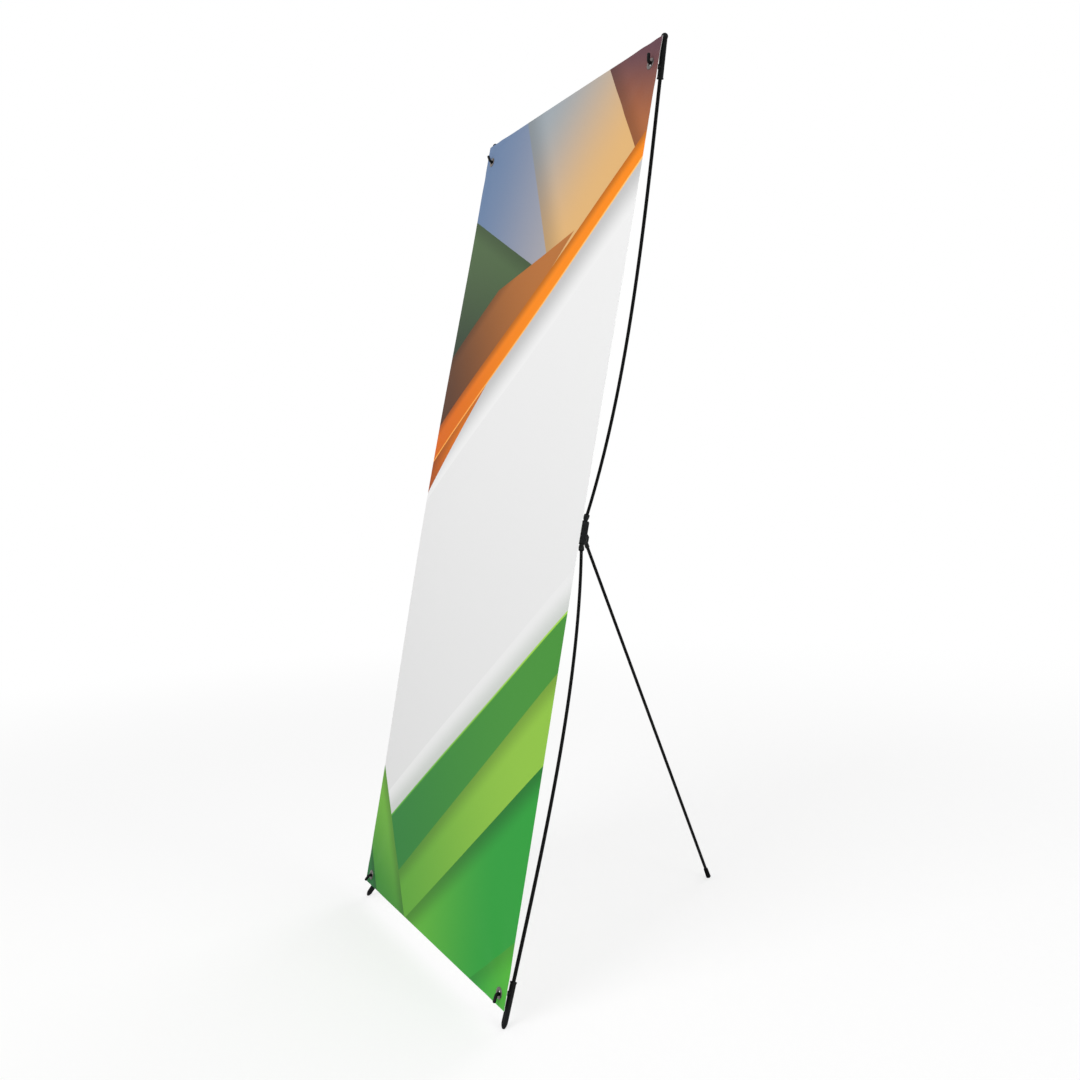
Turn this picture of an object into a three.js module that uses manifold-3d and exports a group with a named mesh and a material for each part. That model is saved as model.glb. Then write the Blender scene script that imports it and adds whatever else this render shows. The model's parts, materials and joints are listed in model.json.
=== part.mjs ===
// X banner stand: a printed sheet stretched by four bowed rods on a folding hub, with a rear leg.
// Millimetres, +Z up, the sheet faces -Y, and the origin is on the floor under the middle of the stand.
import * as THREE from 'three';
import { mergeVertices } from 'three/addons/utils/BufferGeometryUtils.js';
import Module from 'manifold-3d';

const deg = THREE.MathUtils.degToRad;

// General fits
const SLACK = 0.3; // gap kept between neighbours that don't turn on each other
const PIN_SLACK = 0.15; // gap round a pin or a screw
const OVERRUN = 5; // how far a cutting tool runs past what it cuts
const ROUND_STEPS = 20; // sides of a turned piece

// Stance
const LEAN = deg(12.6); // the sheet leans back by this much
const LEG_SPREAD = deg(21.3); // the rear leg stands out from the vertical by this much
const HUB_SETBACK = 239; // sheet to hub, square to the sheet

// Printed sheet
const SHEET_WIDTH = 800;
const SHEET_HEIGHT = 2000;
const SHEET_THICKNESS = 0.5;
const SHEET_BULGE = 8; // how far its middle stands forward
const SHEET_STEPS = 24;
const EYELET_SIDE_INSET = 30;
const EYELET_TOP_INSET = 50;
const EYELET_BOTTOM_INSET = 24;

// Eyelets: a flanged tube in front, a washer behind and a rolled lip that holds it
const EYELET_BORE = 11;
const EYELET_WALL = 1;
const EYELET_FLANGE_REACH = 5.5;
const EYELET_PLATE = 0.8;
const EYELET_EDGE = 0.6; // bevel of the flange
const EYELET_LIP_REACH = 1.4;
const EYELET_LIP_THICKNESS = 0.9;

// Rods and their bends
const ROD_DIAMETER = 8;
const ROD_SIDES = 12;
const ROD_STEPS = 28;
const ROOT_PITCH = deg(3.6); // a rod leaves the hub pitched forward by this much
const TAIL_PITCH = deg(16.2); // and enters its cap pitched forward by this much
const TAIL_SPARE = 5; // straight length beyond the stretch that the cap slides over
const HANDLE_SHARE = 1 / 3; // how soon a rod's bend begins, as a share of the bent stretch

// Pins and screws
const PIN_DIAMETER = 4;
const PIN_SEAT = 3; // how deep a pin end sits in a shell
const PIN_SINK = 0.5; // how far the leg's pin ends lie inside the boss
const SCREW_DIAMETER = 3;
const SCREW_HEAD_DIAMETER = 7.2;
const SCREW_HEAD_THICKNESS = 2.2;
const SCREW_GRIP = 5; // thread length in the front shell
const SCREW_HEAD_SINK = 0.6; // how far the head lies under the shell's face

// Swivelling sockets
const EYE_WALL = 4.85; // round the pin
const EYE_THICKNESS = 7.4;
const NECK_WIDTH = 9;
const SOCKET_FIT = 0.25; // gap round a rod
const SOCKET_WALL = 2.9;
const SOCKET_WAIST_WALL = 2.1;
const SOCKET_WAIST_LENGTH = 3;
const SOCKET_ROUND = 2.4; // round of the mouth
const SOCKET_LENGTH = 14;
const SOCKET_FLOOR = 2; // solid length under the rod
const KNUCKLE_GAP = 0.8; // hub to the open socket

// Hub
const PIVOT_SPACING_X = 23;
const PIVOT_SPACING_Z = 44;
const HUB_SIDE_WALL = 1.7;
const HUB_FACE_WALL = 5;
const HUB_CORNER = 5;
const HUB_EDGE = 1.2; // bevel
const CORNER_STEPS = 4;
const HUB_SCREW_SPACING = 24;
const HUB_SCREW_RISE = 10;

// Rear boss of the hub, and the leg in it
const LEG_PIVOT_SETBACK = 14; // behind the hub's middle
const LEG_PIVOT_DROP = 14; // below the hub's middle
const LEG_EYE_WALL = 3.5;
const LEG_SOCKET_WALL = 1.3;
const LEG_SOCKET_LENGTH = 24;
const LEG_SOCKET_FLOOR = 9.5; // pin to the rod's end
const LEG_SOCKET_ROUND = 1;
const BOSS_CHEEK = 6;
const BOSS_DEPTH = 6.3; // behind the leg's pin
const BOSS_RISE = 18; // above the leg's pin
const BOSS_ROOT = 2.5; // how deep the boss starts inside the shell
const BOSS_EDGE = 0.8;

// Hook caps on the rods' ends
const CAP_FIT = 0.5; // gap round a rod, on which the cap slides
const CAP_WALL = 2;
const CAP_GRIP = 11; // rod length inside a cap
const CAP_TIP = 8; // solid end
const CAP_POINT = 12; // length of the pointed foot
const CAP_SPARE = 1.5; // bore left beyond the rod when the stand is folded
const CAP_LIP_REACH = 0.8;
const CAP_LIP_LENGTH = 3;
const CAP_TIP_SETBACK = 8.5; // sheet to the middle of a cap's tip
const CAP_HEEL = 22.3; // mouth to hook
const KNOB_REACH = 1; // an upper cap ends in a ball this much wider than the cap
const HORN_DIAMETER = 7;
const HORN_BEND = 4;
const HORN_TIP_LENGTH = 10;
const HORN_TIP_PITCH = deg(20); // its tip leans forward by this much
const HORN_REACH = 1; // in front of the eyelet, before the bend
const HORN_SIDES = 12;
const HORN_STEPS = 12;
const HORN_BOSS_WALL = 1.6;
const HORN_BOSS_REACH = 3;

// Feet
const FOOT_FLAT = 0.8; // depth worn flat where a foot meets the floor
const RUBBER_LENGTH = 27;
const RUBBER_WALL = 1;
const RUBBER_FLARE = 1;
const RUBBER_FLOOR = 6;
const RUBBER_ROUND = 2.5;
// The pointed foot's radius and how far along it, as shares of the cap's radius and of its length
const POINT_SHARES = [[1, 0], [0.95, 0.22], [0.78, 0.58], [0.5, 0.88], [0.3, 1]];

const black = { roughness: 0.5, metalness: 0 };
const MATERIALS = {
	hub: new THREE.MeshStandardMaterial({ color: 0x1d1f20, ...black }),
	socket: new THREE.MeshStandardMaterial({ color: 0x242729, ...black }),
	cap: new THREE.MeshStandardMaterial({ color: 0x202022, ...black }),
	rod: new THREE.MeshStandardMaterial({ color: 0x141516, roughness: 0.35, metalness: 0 }),
	rubber: new THREE.MeshStandardMaterial({ color: 0x101011, roughness: 0.85, metalness: 0 }),
	sheet: new THREE.MeshStandardMaterial({ color: 0xe6e6e6, roughness: 0.6, metalness: 0 }),
	nickel: new THREE.MeshStandardMaterial({ color: 0xb8babd, roughness: 0.3, metalness: 1 }),
	steel: new THREE.MeshStandardMaterial({ color: 0x8d9093, roughness: 0.4, metalness: 1 }),
};

// Joining and cutting of closed solids
const wasm = await Module();
wasm.setup();

function solidOf(geometry) {
	const bare = geometry.clone();
	bare.deleteAttribute('normal');
	bare.deleteAttribute('uv');
	const merged = mergeVertices(bare);
	return new wasm.Manifold(new wasm.Mesh({
		numProp: 3,
		vertProperties: new Float32Array(merged.attributes.position.array),
		triVerts: new Uint32Array(merged.index.array),
	}));
}

function geometryOf(solid) {
	const mesh = solid.getMesh();
	const geometry = new THREE.BufferGeometry();
	geometry.setAttribute('position', new THREE.BufferAttribute(mesh.vertProperties, 3));
	geometry.setIndex(new THREE.BufferAttribute(mesh.triVerts, 1));
	geometry.computeVertexNormals();
	return geometry;
}

const join = (first, ...others) =>
	geometryOf(others.reduce((solid, other) => solid.add(solidOf(other)), solidOf(first)));
const cut = (first, ...tools) =>
	geometryOf(tools.reduce((solid, tool) => solid.subtract(solidOf(tool)), solidOf(first)));
const overlapOf = (first, other) => geometryOf(solidOf(first).intersect(solidOf(other)));

// Basic forms
const box = (width, depth, height) => new THREE.BoxGeometry(width, depth, height);
const rodAlongY = (radius, length) => new THREE.CylinderGeometry(radius, radius, length, ROUND_STEPS);
const rodAlongX = (radius, length) => rodAlongY(radius, length).rotateZ(-Math.PI / 2);
// A turned solid about Z, from [radius, height] pairs that start and end on the axis or close on themselves
const turned = (profile) =>
	new THREE.LatheGeometry(profile.map(([r, z]) => new THREE.Vector2(r, z)), ROUND_STEPS)
		.rotateX(Math.PI / 2);
const bore = (radius, from, to) => turned([[0, from], [radius, from], [radius, to], [0, to]]);

// Points of an arc in a turned profile, from one angle above the level to another
function arc(radius, centreRadius, centreHeight, from, to, steps) {
	return Array.from({ length: steps + 1 }, (_, i) => {
		const angle = from + (to - from) * i / steps;
		return [centreRadius + radius * Math.cos(angle), centreHeight + radius * Math.sin(angle)];
	});
}

const outline = (points) => new THREE.Shape(points.map(([x, y]) => new THREE.Vector2(x, y)));

// A flat outline in X and Z, given thickness along Y about the plane Y = 0
function plateAcrossY(shape, thickness, edge = 0) {
	return new THREE.ExtrudeGeometry(shape, {
		depth: thickness - 2 * edge,
		bevelEnabled: edge > 0,
		bevelSize: edge,
		bevelThickness: edge,
		bevelOffset: -edge,
		bevelSegments: 1,
		curveSegments: CORNER_STEPS,
	}).translate(0, 0, edge - thickness / 2).rotateX(Math.PI / 2);
}

// A side outline in Y and Z, given width along X about the plane X = 0
const plateAcrossX = (shape, width, edge = 0) =>
	plateAcrossY(shape, width, edge).rotateZ(Math.PI / 2);

function roundedRectangle(halfWidth, halfHeight, corner) {
	const shape = new THREE.Shape();
	const [x, y] = [halfWidth - corner, halfHeight - corner];
	shape.absarc(x, y, corner, 0, Math.PI / 2);
	shape.absarc(-x, y, corner, Math.PI / 2, Math.PI);
	shape.absarc(-x, -y, corner, Math.PI, 1.5 * Math.PI);
	shape.absarc(x, -y, corner, 1.5 * Math.PI, 2 * Math.PI);
	return shape;
}

function roundBar(radius, sides, steps, ...curves) {
	const path = new THREE.CurvePath();
	curves.forEach((curve) => path.add(curve));
	const section = new THREE.Shape().absarc(0, 0, radius, 0, 2 * Math.PI);
	return new THREE.ExtrudeGeometry(section, { extrudePath: path, steps, curveSegments: sides / 2 });
}

// How far a turned profile reaches down when its axis has this share of its direction downwards
const depthBelow = (profile, downShare) =>
	Math.max(...profile.map(([r, z]) => z * downShare + r * Math.sqrt(1 - downShare ** 2)));

// A step along an arm's frame, outwards and pitched forward
const along = (pitch, distance) =>
	new THREE.Vector3(0, -Math.sin(pitch), Math.cos(pitch)).multiplyScalar(distance);

function piece(parent, name, geometry, material) {
	const mesh = new THREE.Mesh(geometry, material);
	mesh.name = name;
	parent.add(mesh);
	return mesh;
}

function groupAt(parent, x, y, z) {
	const group = new THREE.Group();
	group.position.set(x, y, z);
	parent.add(group);
	return group;
}

// The leaning frame has X to the right, Y behind the sheet and Z up along it.
// An arm's frame has its pin at the origin, Y behind the sheet and Z outwards along the arm.
const rodRadius = ROD_DIAMETER / 2;
const pinRadius = PIN_DIAMETER / 2;
const eyeletX = SHEET_WIDTH / 2 - EYELET_SIDE_INSET;
const eyeletTop = SHEET_HEIGHT - EYELET_TOP_INSET;
const hubHeight = (eyeletTop + EYELET_BOTTOM_INSET) / 2;
const armRun = eyeletX - PIVOT_SPACING_X / 2;
const armRise = eyeletTop - hubHeight - PIVOT_SPACING_Z / 2;
const armReach = Math.hypot(armRun, armRise);
const armAngle = Math.atan2(armRun, armRise);

// Sockets on the arms
const eyeRadius = pinRadius + PIN_SLACK + EYE_WALL;
const socketBore = rodRadius + SOCKET_FIT;
const socketRadius = socketBore + SOCKET_WALL;
const waistRadius = socketBore + SOCKET_WAIST_WALL;
const socketStart = (eyeRadius + KNUCKLE_GAP + waistRadius * Math.sin(armAngle)) / Math.cos(armAngle);
const socketEnd = socketStart + SOCKET_LENGTH;

function armSocket() {
	const neckLength = socketStart + SOCKET_FLOOR;
	const waistEnd = socketStart + SOCKET_WAIST_LENGTH;
	const barrel = turned([
		[0, socketStart], [waistRadius, socketStart], [waistRadius, waistEnd],
		[socketRadius, waistEnd + socketRadius - waistRadius],
		...arc(SOCKET_ROUND, socketRadius - SOCKET_ROUND, socketEnd - SOCKET_ROUND, 0, Math.PI / 2, CORNER_STEPS),
		[0, socketEnd],
	]).rotateX(ROOT_PITCH);
	const neck = box(NECK_WIDTH, EYE_THICKNESS, neckLength).translate(0, 0, neckLength / 2);
	return cut(
		join(rodAlongY(eyeRadius, EYE_THICKNESS), neck, barrel),
		rodAlongY(pinRadius + PIN_SLACK, EYE_THICKNESS + OVERRUN),
		bore(socketBore, neckLength, socketEnd + OVERRUN).rotateX(ROOT_PITCH),
	);
}

// Hook caps. When the stand folds, a cap slides this far in along its rod, so that its hook stays
// level with the eyelet while the arm comes upright.
const capTravel = armReach * (1 - Math.cos(armAngle)) / Math.cos(TAIL_PITCH);
const capRadius = rodRadius + CAP_FIT + CAP_WALL;
const capLength = CAP_GRIP + capTravel + CAP_SPARE + CAP_TIP;
const capMouth = -CAP_HEEL;
const hookToTip = capLength - CAP_HEEL;
const hookSetback = CAP_TIP_SETBACK + hookToTip * Math.sin(TAIL_PITCH);
// The horn bears on the outer side of its eyelet
const hornLift = (EYELET_BORE - HORN_DIAMETER) / 2 - SLACK;
const flangeFront = SHEET_THICKNESS / 2 + SLACK + EYELET_PLATE;

const capSleeve = (tip) => [
	[0, capMouth], [capRadius + CAP_LIP_REACH, capMouth],
	[capRadius + CAP_LIP_REACH, capMouth + CAP_LIP_LENGTH],
	[capRadius, capMouth + CAP_LIP_LENGTH + CAP_LIP_REACH],
	...tip,
];

function knobTip() {
	const radius = capRadius + KNOB_REACH;
	const neck = -Math.acos(capRadius / radius);
	const points = arc(radius, 0, hookToTip - radius, neck, Math.PI / 2, 2 * CORNER_STEPS);
	points[points.length - 1][0] = 0;
	return points;
}

const pointTip = () => [
	...POINT_SHARES.map(([radiusShare, lengthShare]) =>
		[capRadius * radiusShare, hookToTip - CAP_POINT * (1 - lengthShare)]),
	[0, hookToTip],
];

function hookCap(tip) {
	const onAxis = (geometry) => geometry.rotateX(TAIL_PITCH).translate(0, hookSetback, hornLift);
	const bendStart = -flangeFront - HORN_REACH;
	const hornRadius = HORN_DIAMETER / 2;
	const [root, bend, corner] = [hookSetback, bendStart, bendStart - HORN_BEND]
		.map((y) => new THREE.Vector3(0, y, hornLift));
	const [rise, top] = [HORN_BEND, HORN_BEND + HORN_TIP_LENGTH]
		.map((distance) => corner.clone().add(along(HORN_TIP_PITCH, distance)));
	const horn = roundBar(hornRadius, HORN_SIDES, HORN_STEPS,
		new THREE.LineCurve3(root, bend),
		new THREE.QuadraticBezierCurve3(bend, corner, rise),
		new THREE.LineCurve3(rise, top));
	const ball = new THREE.SphereGeometry(hornRadius, HORN_SIDES, HORN_SIDES / 2)
		.rotateX(Math.PI / 2 + HORN_TIP_PITCH).translate(...top);
	const bossLength = capRadius / Math.cos(TAIL_PITCH) + HORN_BOSS_REACH;
	const boss = rodAlongY(hornRadius + HORN_BOSS_WALL, bossLength)
		.translate(0, hookSetback - bossLength / 2, hornLift);
	return cut(
		join(onAxis(turned(capSleeve(tip))), boss, horn, ball),
		onAxis(bore(rodRadius + CAP_FIT, capMouth - OVERRUN, hookToTip - CAP_TIP)),
	);
}

// A rod is straight in its socket, bends once, and is straight again where its cap slides
function armRod() {
	const hookPoint = new THREE.Vector3(0, hookSetback - HUB_SETBACK, armReach + hornLift);
	const onTail = (distance) => hookPoint.clone().add(along(TAIL_PITCH, distance));
	const start = along(ROOT_PITCH, socketStart + SOCKET_FLOOR + SLACK);
	const mouth = along(ROOT_PITCH, socketEnd);
	const tail = onTail(capMouth - capTravel - TAIL_SPARE);
	const handle = mouth.distanceTo(tail) * HANDLE_SHARE;
	return roundBar(rodRadius, ROD_SIDES, ROD_STEPS,
		new THREE.LineCurve3(start, mouth),
		new THREE.CubicBezierCurve3(
			mouth, mouth.clone().add(along(ROOT_PITCH, handle)),
			tail.clone().sub(along(TAIL_PITCH, handle)), tail),
		new THREE.LineCurve3(tail, onTail(capMouth + CAP_GRIP)));
}

// Eyelets, with their Y along the sheet's thickness
const eyeletBarrel = EYELET_BORE / 2 + EYELET_WALL;
const eyeletFlange = eyeletBarrel + EYELET_FLANGE_REACH;
const plateStart = SHEET_THICKNESS / 2 + SLACK;
const plateEnd = plateStart + EYELET_PLATE;
const facingBack = (geometry) => geometry.rotateX(-Math.PI / 2);

function eyelet() {
	const lipStart = plateEnd + SLACK;
	const lipEnd = lipStart + EYELET_LIP_THICKNESS;
	const loop = [
		[EYELET_BORE / 2, -plateEnd], [eyeletFlange - EYELET_EDGE, -plateEnd],
		[eyeletFlange, -plateEnd + EYELET_EDGE], [eyeletFlange, -plateStart],
		[eyeletBarrel, -plateStart], [eyeletBarrel, lipStart],
		[eyeletBarrel + EYELET_LIP_REACH, lipStart], [eyeletBarrel + EYELET_LIP_REACH - EYELET_EDGE, lipEnd],
		[EYELET_BORE / 2, lipEnd],
	];
	return facingBack(turned([...loop, loop[0]]));
}

function washer() {
	const [inner, outer] = [eyeletBarrel + SLACK, eyeletFlange];
	return facingBack(turned([
		[inner, plateStart], [outer, plateStart], [outer, plateEnd], [inner, plateEnd], [inner, plateStart],
	]));
}

// The sheet is flat at its eyelets and stands forward between them
function bannerSheet() {
	const sheet = new THREE.BoxGeometry(SHEET_WIDTH, SHEET_THICKNESS, SHEET_HEIGHT, 1, 1, SHEET_STEPS)
		.translate(0, 0, SHEET_HEIGHT / 2);
	const p = sheet.attributes.position;
	for (let i = 0; i < p.count; i++) {
		const share = (p.getZ(i) - EYELET_BOTTOM_INSET) / (eyeletTop - EYELET_BOTTOM_INSET);
		const bulge = SHEET_BULGE * Math.sin(Math.PI * THREE.MathUtils.clamp(share, 0, 1)) ** 2;
		p.setY(i, p.getY(i) - bulge);
	}
	const holes = [-eyeletX, eyeletX].flatMap((x) => [EYELET_BOTTOM_INSET, eyeletTop].map((z) =>
		rodAlongY(eyeletBarrel + SLACK, SHEET_THICKNESS + 2 * OVERRUN).translate(x, 0, z)));
	return cut(sheet, ...holes);
}

// Hub: a front and a rear shell round the arms' eyes, with a boss behind for the leg
const hubHalfWidth = PIVOT_SPACING_X / 2 + eyeRadius + SLACK + HUB_SIDE_WALL;
const hubHalfHeight = PIVOT_SPACING_Z / 2 + eyeRadius;
const hubHalfDepth = EYE_THICKNESS / 2 + SLACK + HUB_FACE_WALL;
const pivotPlaces = [-1, 1].flatMap((side) => [-1, 1].map((level) => ({
	side, level, x: side * PIVOT_SPACING_X / 2, z: level * PIVOT_SPACING_Z / 2,
})));
const screwPlaces = [-1, 1].map((side) => side * HUB_SCREW_SPACING / 2);
const legSocketRadius = rodRadius + SOCKET_FIT + LEG_SOCKET_WALL;
const legEyeRadius = pinRadius + PIN_SLACK + LEG_EYE_WALL;
const legSlotHalf = legSocketRadius + SLACK;
const bossWidth = 2 * (legSlotHalf + BOSS_CHEEK);
const legAngle = LEAN + LEG_SPREAD; // from the hub's own axis

// Pockets in which the arms' eyes turn, open towards the arms
function armPockets() {
	const pocketDepth = EYE_THICKNESS + 2 * SLACK;
	const halfNeck = NECK_WIDTH / 2 + SLACK;
	const length = eyeRadius + OVERRUN;
	return pivotPlaces.flatMap(({ side, level, x, z }) => {
		const channel = outline([
			[-halfNeck, 0], [halfNeck / Math.cos(armAngle), 0],
			[length * Math.tan(armAngle) + halfNeck / Math.cos(armAngle), length], [-halfNeck, length],
		].map(([u, v]) => [side * u, level * v]));
		return [rodAlongY(eyeRadius + SLACK, pocketDepth), plateAcrossY(channel, pocketDepth),
			rodAlongY(pinRadius + PIN_SLACK, EYE_THICKNESS + 2 * (PIN_SEAT + SLACK))]
			.map((tool) => tool.translate(x, 0, z));
	});
}

// A screw from behind, and its hole, which is wider by a gap
function hubScrew(gap = 0) {
	const length = hubHalfDepth - SCREW_HEAD_SINK + SCREW_GRIP;
	const headStart = gap ? -OVERRUN : 0;
	const [head, shank] = [SCREW_HEAD_DIAMETER / 2 + gap, SCREW_DIAMETER / 2 + gap];
	return turned([
		[0, headStart], [head, headStart], [head, SCREW_HEAD_THICKNESS + gap],
		[shank, SCREW_HEAD_THICKNESS + gap], [shank, length + gap], [0, length + gap],
	]).rotateX(Math.PI / 2).translate(0, hubHalfDepth - SCREW_HEAD_SINK, HUB_SCREW_RISE);
}

const screwHoles = () => screwPlaces.map((x) => hubScrew(PIN_SLACK).translate(x, 0, 0));

function hubHalf(side) {
	const body = plateAcrossY(
		roundedRectangle(hubHalfWidth, hubHalfHeight, HUB_CORNER), 2 * hubHalfDepth, HUB_EDGE);
	const room = box(2 * hubHalfWidth + OVERRUN, hubHalfDepth + OVERRUN, 2 * hubHalfHeight + OVERRUN)
		.translate(0, side * (hubHalfDepth + OVERRUN + SLACK) / 2, 0);
	return overlapOf(body, room);
}

const hubFrontShell = () => cut(hubHalf(-1), ...armPockets(), ...screwHoles());

function hubRearShell() {
	const rear = LEG_PIVOT_SETBACK + BOSS_DEPTH;
	const root = hubHalfDepth - BOSS_ROOT;
	const boss = plateAcrossX(outline([
		[root, BOSS_RISE - LEG_PIVOT_DROP], [hubHalfDepth, BOSS_RISE - LEG_PIVOT_DROP],
		[rear, BOSS_DEPTH - LEG_PIVOT_DROP], [rear, -BOSS_DEPTH - LEG_PIVOT_DROP],
		[LEG_PIVOT_SETBACK, -hubHalfHeight], [root, -hubHalfHeight],
	]), bossWidth, BOSS_EDGE);
	const length = 2 * hubHalfHeight;
	const [cos, sin] = [Math.cos(legAngle), Math.sin(legAngle)];
	const swing = outline([
		[-legSlotHalf, 0], [-legSlotHalf, -length],
		[length * sin + legSlotHalf * cos, legSlotHalf * sin - length * cos],
		[legSlotHalf * cos, legSlotHalf * sin],
	]);
	const legTools = [
		rodAlongX(legEyeRadius + SLACK, 2 * legSlotHalf), plateAcrossX(swing, 2 * legSlotHalf),
		rodAlongX(pinRadius + PIN_SLACK, bossWidth + OVERRUN),
	].map((tool) => tool.translate(0, LEG_PIVOT_SETBACK, -LEG_PIVOT_DROP));
	return cut(join(hubHalf(1), boss), ...armPockets(), ...screwHoles(), ...legTools);
}

// Leg, with its pin at the origin and Z down along it
function legSocket() {
	const barrel = turned([
		[0, 0], [legSocketRadius, 0],
		...arc(LEG_SOCKET_ROUND, legSocketRadius - LEG_SOCKET_ROUND, LEG_SOCKET_LENGTH - LEG_SOCKET_ROUND,
			0, Math.PI / 2, CORNER_STEPS),
		[0, LEG_SOCKET_LENGTH],
	]);
	return cut(
		join(rodAlongX(legEyeRadius, 2 * legSocketRadius), barrel),
		rodAlongX(pinRadius + PIN_SLACK, 2 * legSocketRadius + OVERRUN),
		bore(socketBore, LEG_SOCKET_FLOOR, LEG_SOCKET_LENGTH + OVERRUN),
	);
}

// Rubber foot, with the end of the leg at Z = 0
const rubberBore = rodRadius + SLACK;
const rubberRadius = rubberBore + RUBBER_WALL + RUBBER_FLARE;
const rubberProfile = [
	[0, -RUBBER_LENGTH], [rubberBore + RUBBER_WALL, -RUBBER_LENGTH],
	...arc(RUBBER_ROUND, rubberRadius - RUBBER_ROUND, -RUBBER_ROUND, 0, Math.PI / 2, CORNER_STEPS),
	[0, 0],
];

// Takes off what of a piece in this group lies under the floor
function standOnFloor(geometry, group) {
	group.updateWorldMatrix(true, false);
	const side = 2 * capLength;
	const { x, y } = new THREE.Vector3().setFromMatrixPosition(group.matrixWorld);
	const ground = box(side, side, side).translate(x, y, -side / 2);
	return cut(geometry, ground.applyMatrix4(group.matrixWorld.clone().invert()));
}

// The sheet's lower edge is this high when the two lower caps stand on the floor
const capDownShare = Math.cos(armAngle) * Math.cos(TAIL_PITCH) * Math.cos(LEAN)
	- Math.sin(TAIL_PITCH) * Math.sin(LEAN);
const lowerHookRise = (EYELET_BOTTOM_INSET - hornLift * Math.cos(armAngle)) * Math.cos(LEAN)
	- hookSetback * Math.sin(LEAN);
const sheetClearance = depthBelow(pointTip(), capDownShare) - lowerHookRise - FOOT_FLAT;
const legPivotHeight = sheetClearance + (hubHeight - LEG_PIVOT_DROP) * Math.cos(LEAN)
	- (HUB_SETBACK + LEG_PIVOT_SETBACK) * Math.sin(LEAN);
const legLength = (legPivotHeight + FOOT_FLAT - depthBelow(rubberProfile, Math.cos(LEG_SPREAD)))
	/ Math.cos(LEG_SPREAD);

const stand = new THREE.Group();
const leaning = groupAt(stand, 0, 0, sheetClearance);
leaning.rotation.x = -LEAN;

piece(leaning, 'banner_sheet', bannerSheet(), MATERIALS.sheet);

const hub = groupAt(leaning, 0, HUB_SETBACK, hubHeight);
piece(hub, 'hub_front_shell', hubFrontShell(), MATERIALS.hub);
piece(hub, 'hub_rear_shell', hubRearShell(), MATERIALS.hub);
screwPlaces.forEach((x) =>
	piece(hub, `hub_screw_${x > 0 ? 'right' : 'left'}`, hubScrew(), MATERIALS.steel).position.setX(x));

for (const { side, level, x, z } of pivotPlaces) {
	const place = `${level > 0 ? 'upper' : 'lower'}_${side > 0 ? 'right' : 'left'}`;
	piece(hub, `arm_pin_${place}`, rodAlongY(pinRadius, EYE_THICKNESS + 2 * PIN_SEAT), MATERIALS.steel)
		.position.set(x, 0, z);
	const arm = groupAt(hub, x, 0, z);
	arm.rotation.y = level > 0 ? side * armAngle : Math.PI - side * armAngle;
	piece(arm, `socket_${place}`, armSocket(), MATERIALS.socket);
	piece(arm, `rod_${place}`, armRod(), MATERIALS.rod);
	const corner = groupAt(arm, 0, -HUB_SETBACK, armReach);
	const cap = level > 0 ? hookCap(knobTip()) : standOnFloor(hookCap(pointTip()), corner);
	piece(corner, `hook_cap_${place}`, cap, MATERIALS.cap);
	piece(corner, `eyelet_${place}`, eyelet(), MATERIALS.nickel);
	piece(corner, `eyelet_washer_${place}`, washer(), MATERIALS.nickel);
}

piece(hub, 'leg_pin', rodAlongX(pinRadius, bossWidth - 2 * PIN_SINK), MATERIALS.steel)
	.position.set(0, LEG_PIVOT_SETBACK, -LEG_PIVOT_DROP);
const leg = groupAt(hub, 0, LEG_PIVOT_SETBACK, -LEG_PIVOT_DROP);
leg.rotation.x = Math.PI + legAngle;
piece(leg, 'leg_socket', legSocket(), MATERIALS.socket);
const legRodStart = LEG_SOCKET_FLOOR + SLACK;
const legRodLength = legLength - RUBBER_FLOOR - SLACK - legRodStart;
piece(leg, 'leg_rod', new THREE.CylinderGeometry(rodRadius, rodRadius, legRodLength, ROD_SIDES)
	.rotateX(Math.PI / 2).translate(0, 0, legRodStart + legRodLength / 2), MATERIALS.rod);
const foot = groupAt(leg, 0, 0, legLength);
piece(foot, 'leg_foot', standOnFloor(
	cut(turned(rubberProfile), bore(rubberBore, -RUBBER_LENGTH - OVERRUN, -RUBBER_FLOOR)), foot),
MATERIALS.rubber);

// Centre the stand over the origin
const extent = new THREE.Box3().setFromObject(stand, true);
stand.position.y = -(extent.min.y + extent.max.y) / 2;

export default stand;
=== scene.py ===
"""Looks for the x banner stand: a printed sheet stretched by bowed rods on a folding hub, with a leg."""

import json
import logging
import math
from collections.abc import Sequence
from dataclasses import dataclass, field
from enum import Enum
from functools import cache
from typing import Any

import bmesh
import bpy
from bpy.types import Material, Node, NodeSocket, NodeTree, Object
from mathutils import Matrix, Vector

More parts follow.
